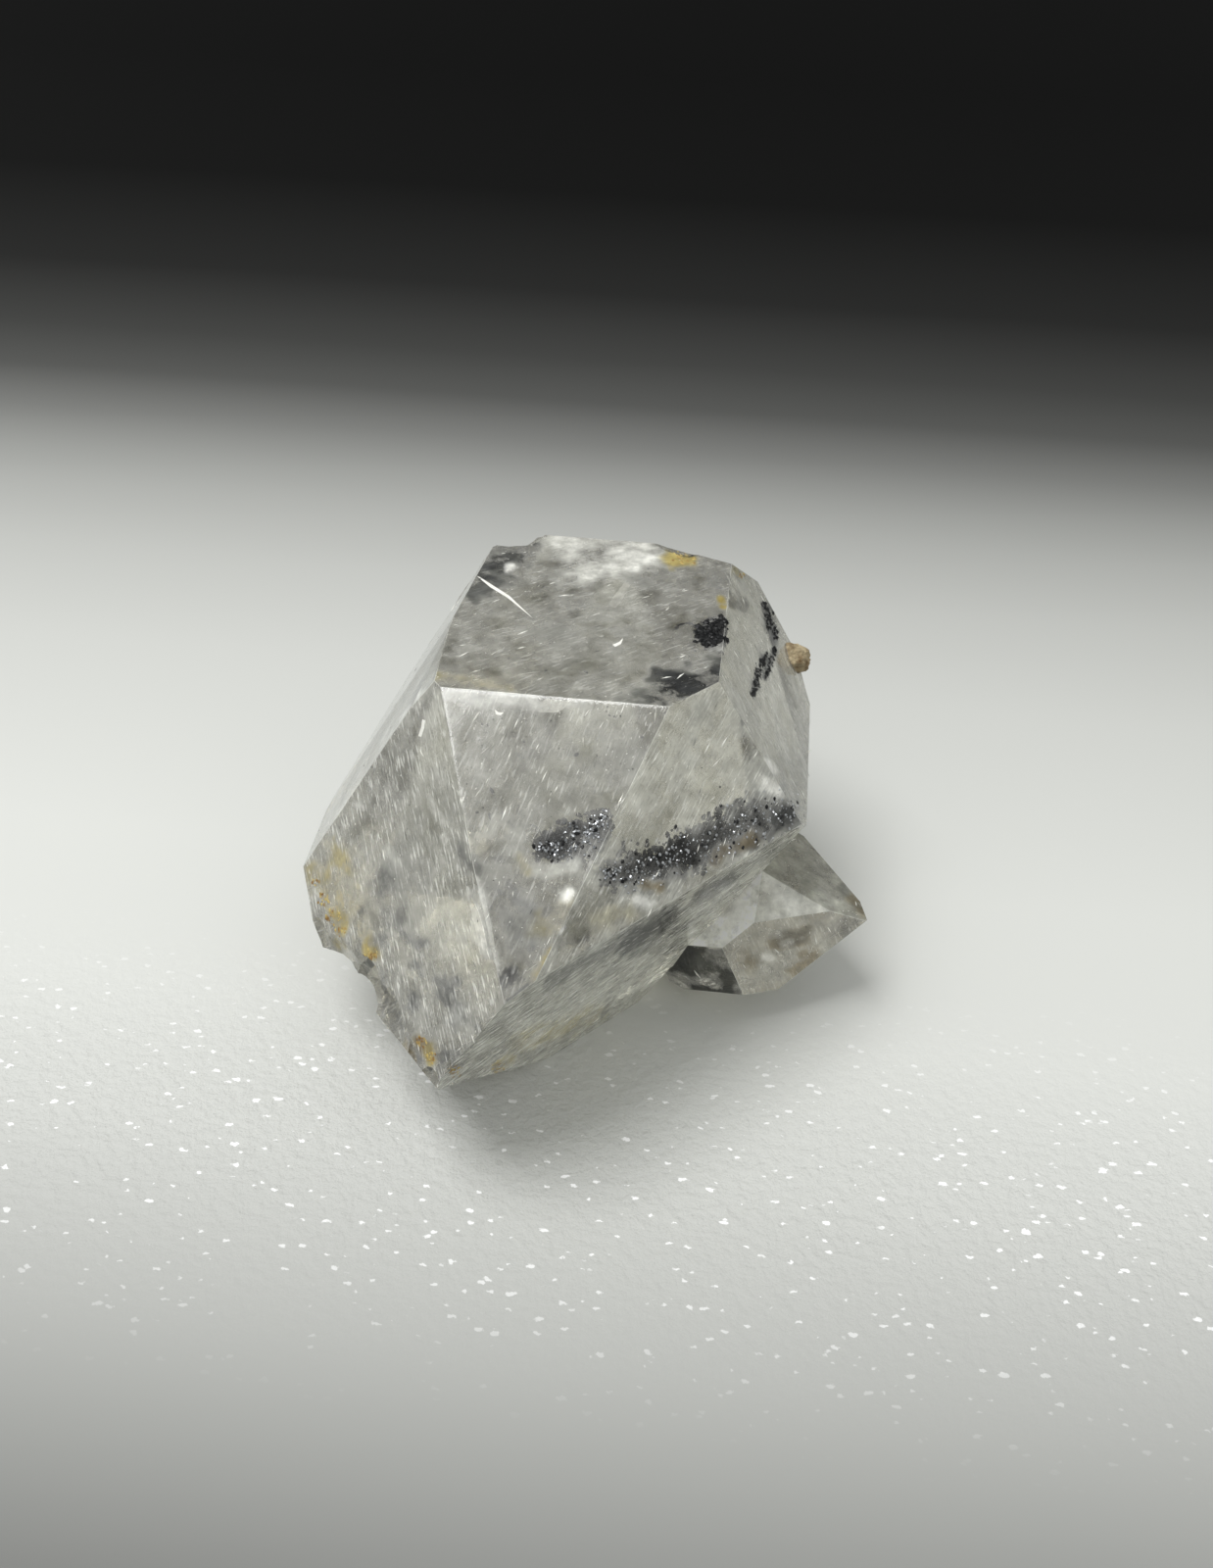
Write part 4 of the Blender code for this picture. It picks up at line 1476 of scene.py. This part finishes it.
@dataclass
class Studio:
    """Floor, light and surroundings."""

    camera: PhotoCamera
    floor_half_mm: float = 600.0
    sheet_hex: str = "#dadbd7"
    painted_light_falloff: tuple[tuple[float, float], ...] = (      # painted light falloff: distance along Y in mm, share of full brightness
        (-30.0, 0.29), (-21.0, 0.59), (-12.5, 0.84), (-5.0, 0.95), (5.0, 0.95), (21.0, 0.83),
        (31.0, 0.70), (39.0, 0.55), (44.0, 0.43), (50.0, 0.265), (57.0, 0.122), (65.0, 0.070),
        (79.0, 0.024), (105.0, 0.004), (150.0, 0.001),
    )
    textured_mm: tuple[float, float] = (-12.0, 12.0)    # where along Y the texture shows best, how far
    dimple_mm: float = 0.5
    sparkle_mm: float = 0.33
    # colour of the painted glints on the sheet
    painted_glint_hex: str = "#ffffff"
    softbox_mm: float = 120.0
    softbox_place_mm: tuple[float, float, float] = (-75.0, -45.0, 250.0)
    softbox_watts: float = 0.44
    dome_rise: tuple[float, float] = (0.20, 0.92)       # strength at the horizon and overhead
    dome_behind: tuple[float, float] = (1.0, 0.08)      # share beside the crystal and behind it
    dome_colour: tuple[float, float, float, float] = (0.985, 1.0, 0.985, 1.0)

    def sheet_colour(
        self, tree: bpy.types.NodeTree, place: bpy.types.NodeSocket
    ) -> tuple[bpy.types.NodeSocket, bpy.types.NodeSocket]:
        """Colour of the sheet, with its painted light falloff and painted glints, and how well its texture
        shows.

        Args:
            tree: Node tree of the sheet's material.
            place: Object coordinates.

        Returns:
            Sockets of the colour and of the texture's strength.
        """
        y_place = add_node(tree, "ShaderNodeSeparateXYZ", inputs={0: place}).outputs["Y"]
        # Painted light falloff: the sheet's colour darkens along Y.
        first, last = self.painted_light_falloff[0][0], self.painted_light_falloff[-1][0]
        away = add_node(tree, "ShaderNodeMapRange", {"clamp": True}, {
            "Value": y_place, "From Min": first * MM, "From Max": last * MM,
        })
        ramp = add_node(tree, "ShaderNodeValToRGB", inputs={"Fac": away.outputs["Result"]})
        stops = ramp.color_ramp.elements
        for k, (y_mm, share) in enumerate(self.painted_light_falloff):
            stop = stops[k] if k < len(stops) else stops.new(1.0)
            stop.position = (y_mm - first) / (last - first)
            stop.color = tuple(share * c for c in linear(self.sheet_hex)[:3]) + (1.0,)
        middle, fades_mm = self.textured_mm
        shift = add_node(tree, "ShaderNodeMath", {"operation": "SUBTRACT"}, {0: y_place, 1: middle * MM})
        aside = add_node(tree, "ShaderNodeMath", {"operation": "ABSOLUTE"}, {0: shift.outputs["Value"]})
        texture = add_node(tree, "ShaderNodeMapRange", {"interpolation_type": "SMOOTHSTEP"}, {
            "Value": aside.outputs["Value"], "From Min": 0.0, "From Max": fades_mm * MM,
            "To Min": 1.0, "To Max": 0.0,
        })
        turned = add_node(tree, "ShaderNodeMapping", inputs={
            "Vector": place, "Rotation": (0.0, 0.0, 0.5), "Scale": (0.55, 1.0, 1.0),
        })
        warp = add_node(tree, "ShaderNodeTexNoise", inputs={
            "Vector": place, "Scale": 1.5 / (self.sparkle_mm * MM), "Detail": 2.0,
        })
        warped = add_node(tree, "ShaderNodeVectorMath", {"operation": "MULTIPLY_ADD"}, {
            0: warp.outputs["Color"], 1: (0.25 * MM, 0.25 * MM, 0.0), 2: turned.outputs["Vector"],
        })
        cells = add_node(tree, "ShaderNodeTexVoronoi", inputs={
            "Vector": warped.outputs["Vector"], "Scale": 1.0 / (self.sparkle_mm * MM),
        })
        size = add_node(tree, "ShaderNodeSeparateColor", inputs={0: cells.outputs["Color"]})
        reach = add_node(tree, "ShaderNodeMath", {"operation": "MULTIPLY_ADD"}, {
            0: size.outputs["Red"], 1: 0.46, 2: -0.12,
        })
        spot = add_node(tree, "ShaderNodeMath", {"operation": "SUBTRACT"}, {
            0: reach.outputs["Value"], 1: cells.outputs["Distance"],
        })
        glint = add_node(tree, "ShaderNodeMath", {"operation": "MULTIPLY", "use_clamp": True}, {
            0: spot.outputs["Value"], 1: 12.0,
        })
        painted_glint = add_node(tree, "ShaderNodeMath", {"operation": "MULTIPLY"}, {
            0: glint.outputs["Value"], 1: texture.outputs["Result"],
        })
        # Painted glints: white spots in the sheet's colour stand in for the glints of its dimples.
        colour = add_node(tree, "ShaderNodeMix", {"data_type": "RGBA"}, {
            0: painted_glint.outputs["Value"], 6: ramp.outputs["Color"], 7: linear(self.painted_glint_hex),
        })
        return colour.outputs[2], texture.outputs["Result"]

    def floor(self) -> bpy.types.Object:
        """Pale, finely dimpled sheet that ends in painted dark behind the crystal; its colour also darkens
        towards the camera, a painted light falloff.
        """
        material, tree, shader = new_material("pale_dimpled_sheet")
        place = add_node(tree, "ShaderNodeTexCoord").outputs["Object"]
        colour, texture = self.sheet_colour(tree, place)
        tree.links.new(colour, shader.inputs["Base Color"])
        dimples = add_node(tree, "ShaderNodeTexNoise", inputs={
            "Vector": place, "Scale": 1.0 / (self.dimple_mm * MM), "Detail": 3.0, "Roughness": 0.6,
        })
        bump = add_node(tree, "ShaderNodeBump", inputs={
            "Height": dimples.outputs["Fac"], "Distance": 0.16 * MM, "Strength": texture,
        })
        tree.links.new(bump.outputs["Normal"], shader.inputs["Normal"])
        shader.inputs["Roughness"].default_value = 0.6
        shader.inputs["Specular IOR Level"].default_value = 0.15
        bm = bmesh.new()
        bmesh.ops.create_grid(bm, x_segments=4, y_segments=4, size=self.floor_half_mm * MM)
        floor = object_from("floor", bm, material)
        return floor

    def softbox(self) -> bpy.types.Object:
        """Wide soft light high above the left front."""
        data = bpy.data.lights.new("softbox", "AREA")
        data.shape = "SQUARE"
        data.size = self.softbox_mm * MM
        data.energy = self.softbox_watts
        light = bpy.data.objects.new("softbox", data)
        place = Vector(self.softbox_place_mm) * MM
        aim = (-place).to_track_quat("-Z", "Y")
        light.matrix_world = Matrix.Translation(place) @ aim.to_matrix().to_4x4()
        bpy.context.scene.collection.objects.link(light)
        return light

    def surroundings(self) -> bpy.types.World:
        """Soft light from all sides that fades to dark behind the crystal."""
        world = bpy.data.worlds.new("soft_studio")
        world.use_nodes = True
        tree = world.node_tree
        where = add_node(tree, "ShaderNodeTexCoord")
        axes = add_node(tree, "ShaderNodeSeparateXYZ", inputs={0: where.outputs["Generated"]})
        height = add_node(tree, "ShaderNodeMapRange", {"interpolation_type": "SMOOTHSTEP"}, {
            "Value": axes.outputs["Z"], "From Min": 0.0, "From Max": 0.9,
            "To Min": self.dome_rise[0], "To Max": self.dome_rise[1],
        })
        behind = add_node(tree, "ShaderNodeMapRange", {"interpolation_type": "SMOOTHSTEP"}, {
            "Value": axes.outputs["Y"], "From Min": 0.2, "From Max": 0.9,
            "To Min": self.dome_behind[0], "To Max": self.dome_behind[1],
        })
        light = add_node(tree, "ShaderNodeMath", {"operation": "MULTIPLY"}, {
            0: height.outputs["Result"], 1: behind.outputs["Result"],
        })
        background = tree.nodes["Background"]
        background.inputs["Color"].default_value = self.dome_colour
        tree.links.new(light.outputs["Value"], background.inputs["Strength"])
        bpy.context.scene.world = world
        return world

    def build(self) -> None:
        """Set up everything that is not part of the object."""
        self.floor()
        self.softbox()
        self.surroundings()
        self.camera.add_to_scene()
        bpy.context.scene.view_settings.view_transform = "Standard"


def main() -> None:
    """Build the studio and the crystal, piece by piece."""
    logging.basicConfig(level=logging.INFO, format="%(message)s")
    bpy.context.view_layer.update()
    camera = PhotoCamera()
    Studio(camera).build()
    shape = CrystalShape(camera)
    crystal, faces = shape.build(ClearQuartz().make())
    SurfacePainter(camera).paint(crystal, faces)
    ride(crystal)
    black = Anthraxolite().make()
    silver = HealedCrack("silvery_cavities", "#dfe1e4", "#74777b", 1.0, 0.30, 0.2).make()
    pale = HealedCrack("gas_filled_cavities", "#fdfcf8", "#e6e5de", 0.55, 0.3).make()
    white = HealedCrack("chalky_veil", "#fdfcf6", "#deddd4", 0.0, 0.6).make()
    grey = HealedCrack("coal_filled_cavities", "#4a4a48", "#1c1c1c", 0.0, 0.5).make()
    grains, glints = BlackGrains(shape).build(black, silver)
    for piece in (*grains, Specks(shape).build(black)):
        ride(piece)
    cracks = (
        *glints,
        Veils(shape).build(white),
        Flecks("silvery_flecks", camera, 3.0, 5).build(crystal, faces, pale),
        Flecks("open_cracks", camera, 2.2, 9, (0.10, 0.60), (0.0, 0.01)).build(crystal, faces, white),
        Flecks("pale_dust", camera, 5.0, 7, (0.03, 0.10), (0.0, 0.01), 0.4, 1.5).build(crystal, faces, white),
        Flecks("grey_flecks", camera, 1.2, 6, (0.08, 0.45), (0.0, 0.25)).build(crystal, faces, grey),
        Flecks("grey_dust", camera, 5.0, 8, (0.03, 0.10), (0.0, 0.02), 0.6, 1.5).build(crystal, faces, grey),
        Bubbles(shape).build(FluidBubble().make()),
    )
    for piece in cracks:
        ride(piece)
    ride(StainCrusts(shape).build(IronStain().make()))
    ride(RockGrain().build(BrownRock().make()))


if __name__ == "__main__":
    main()
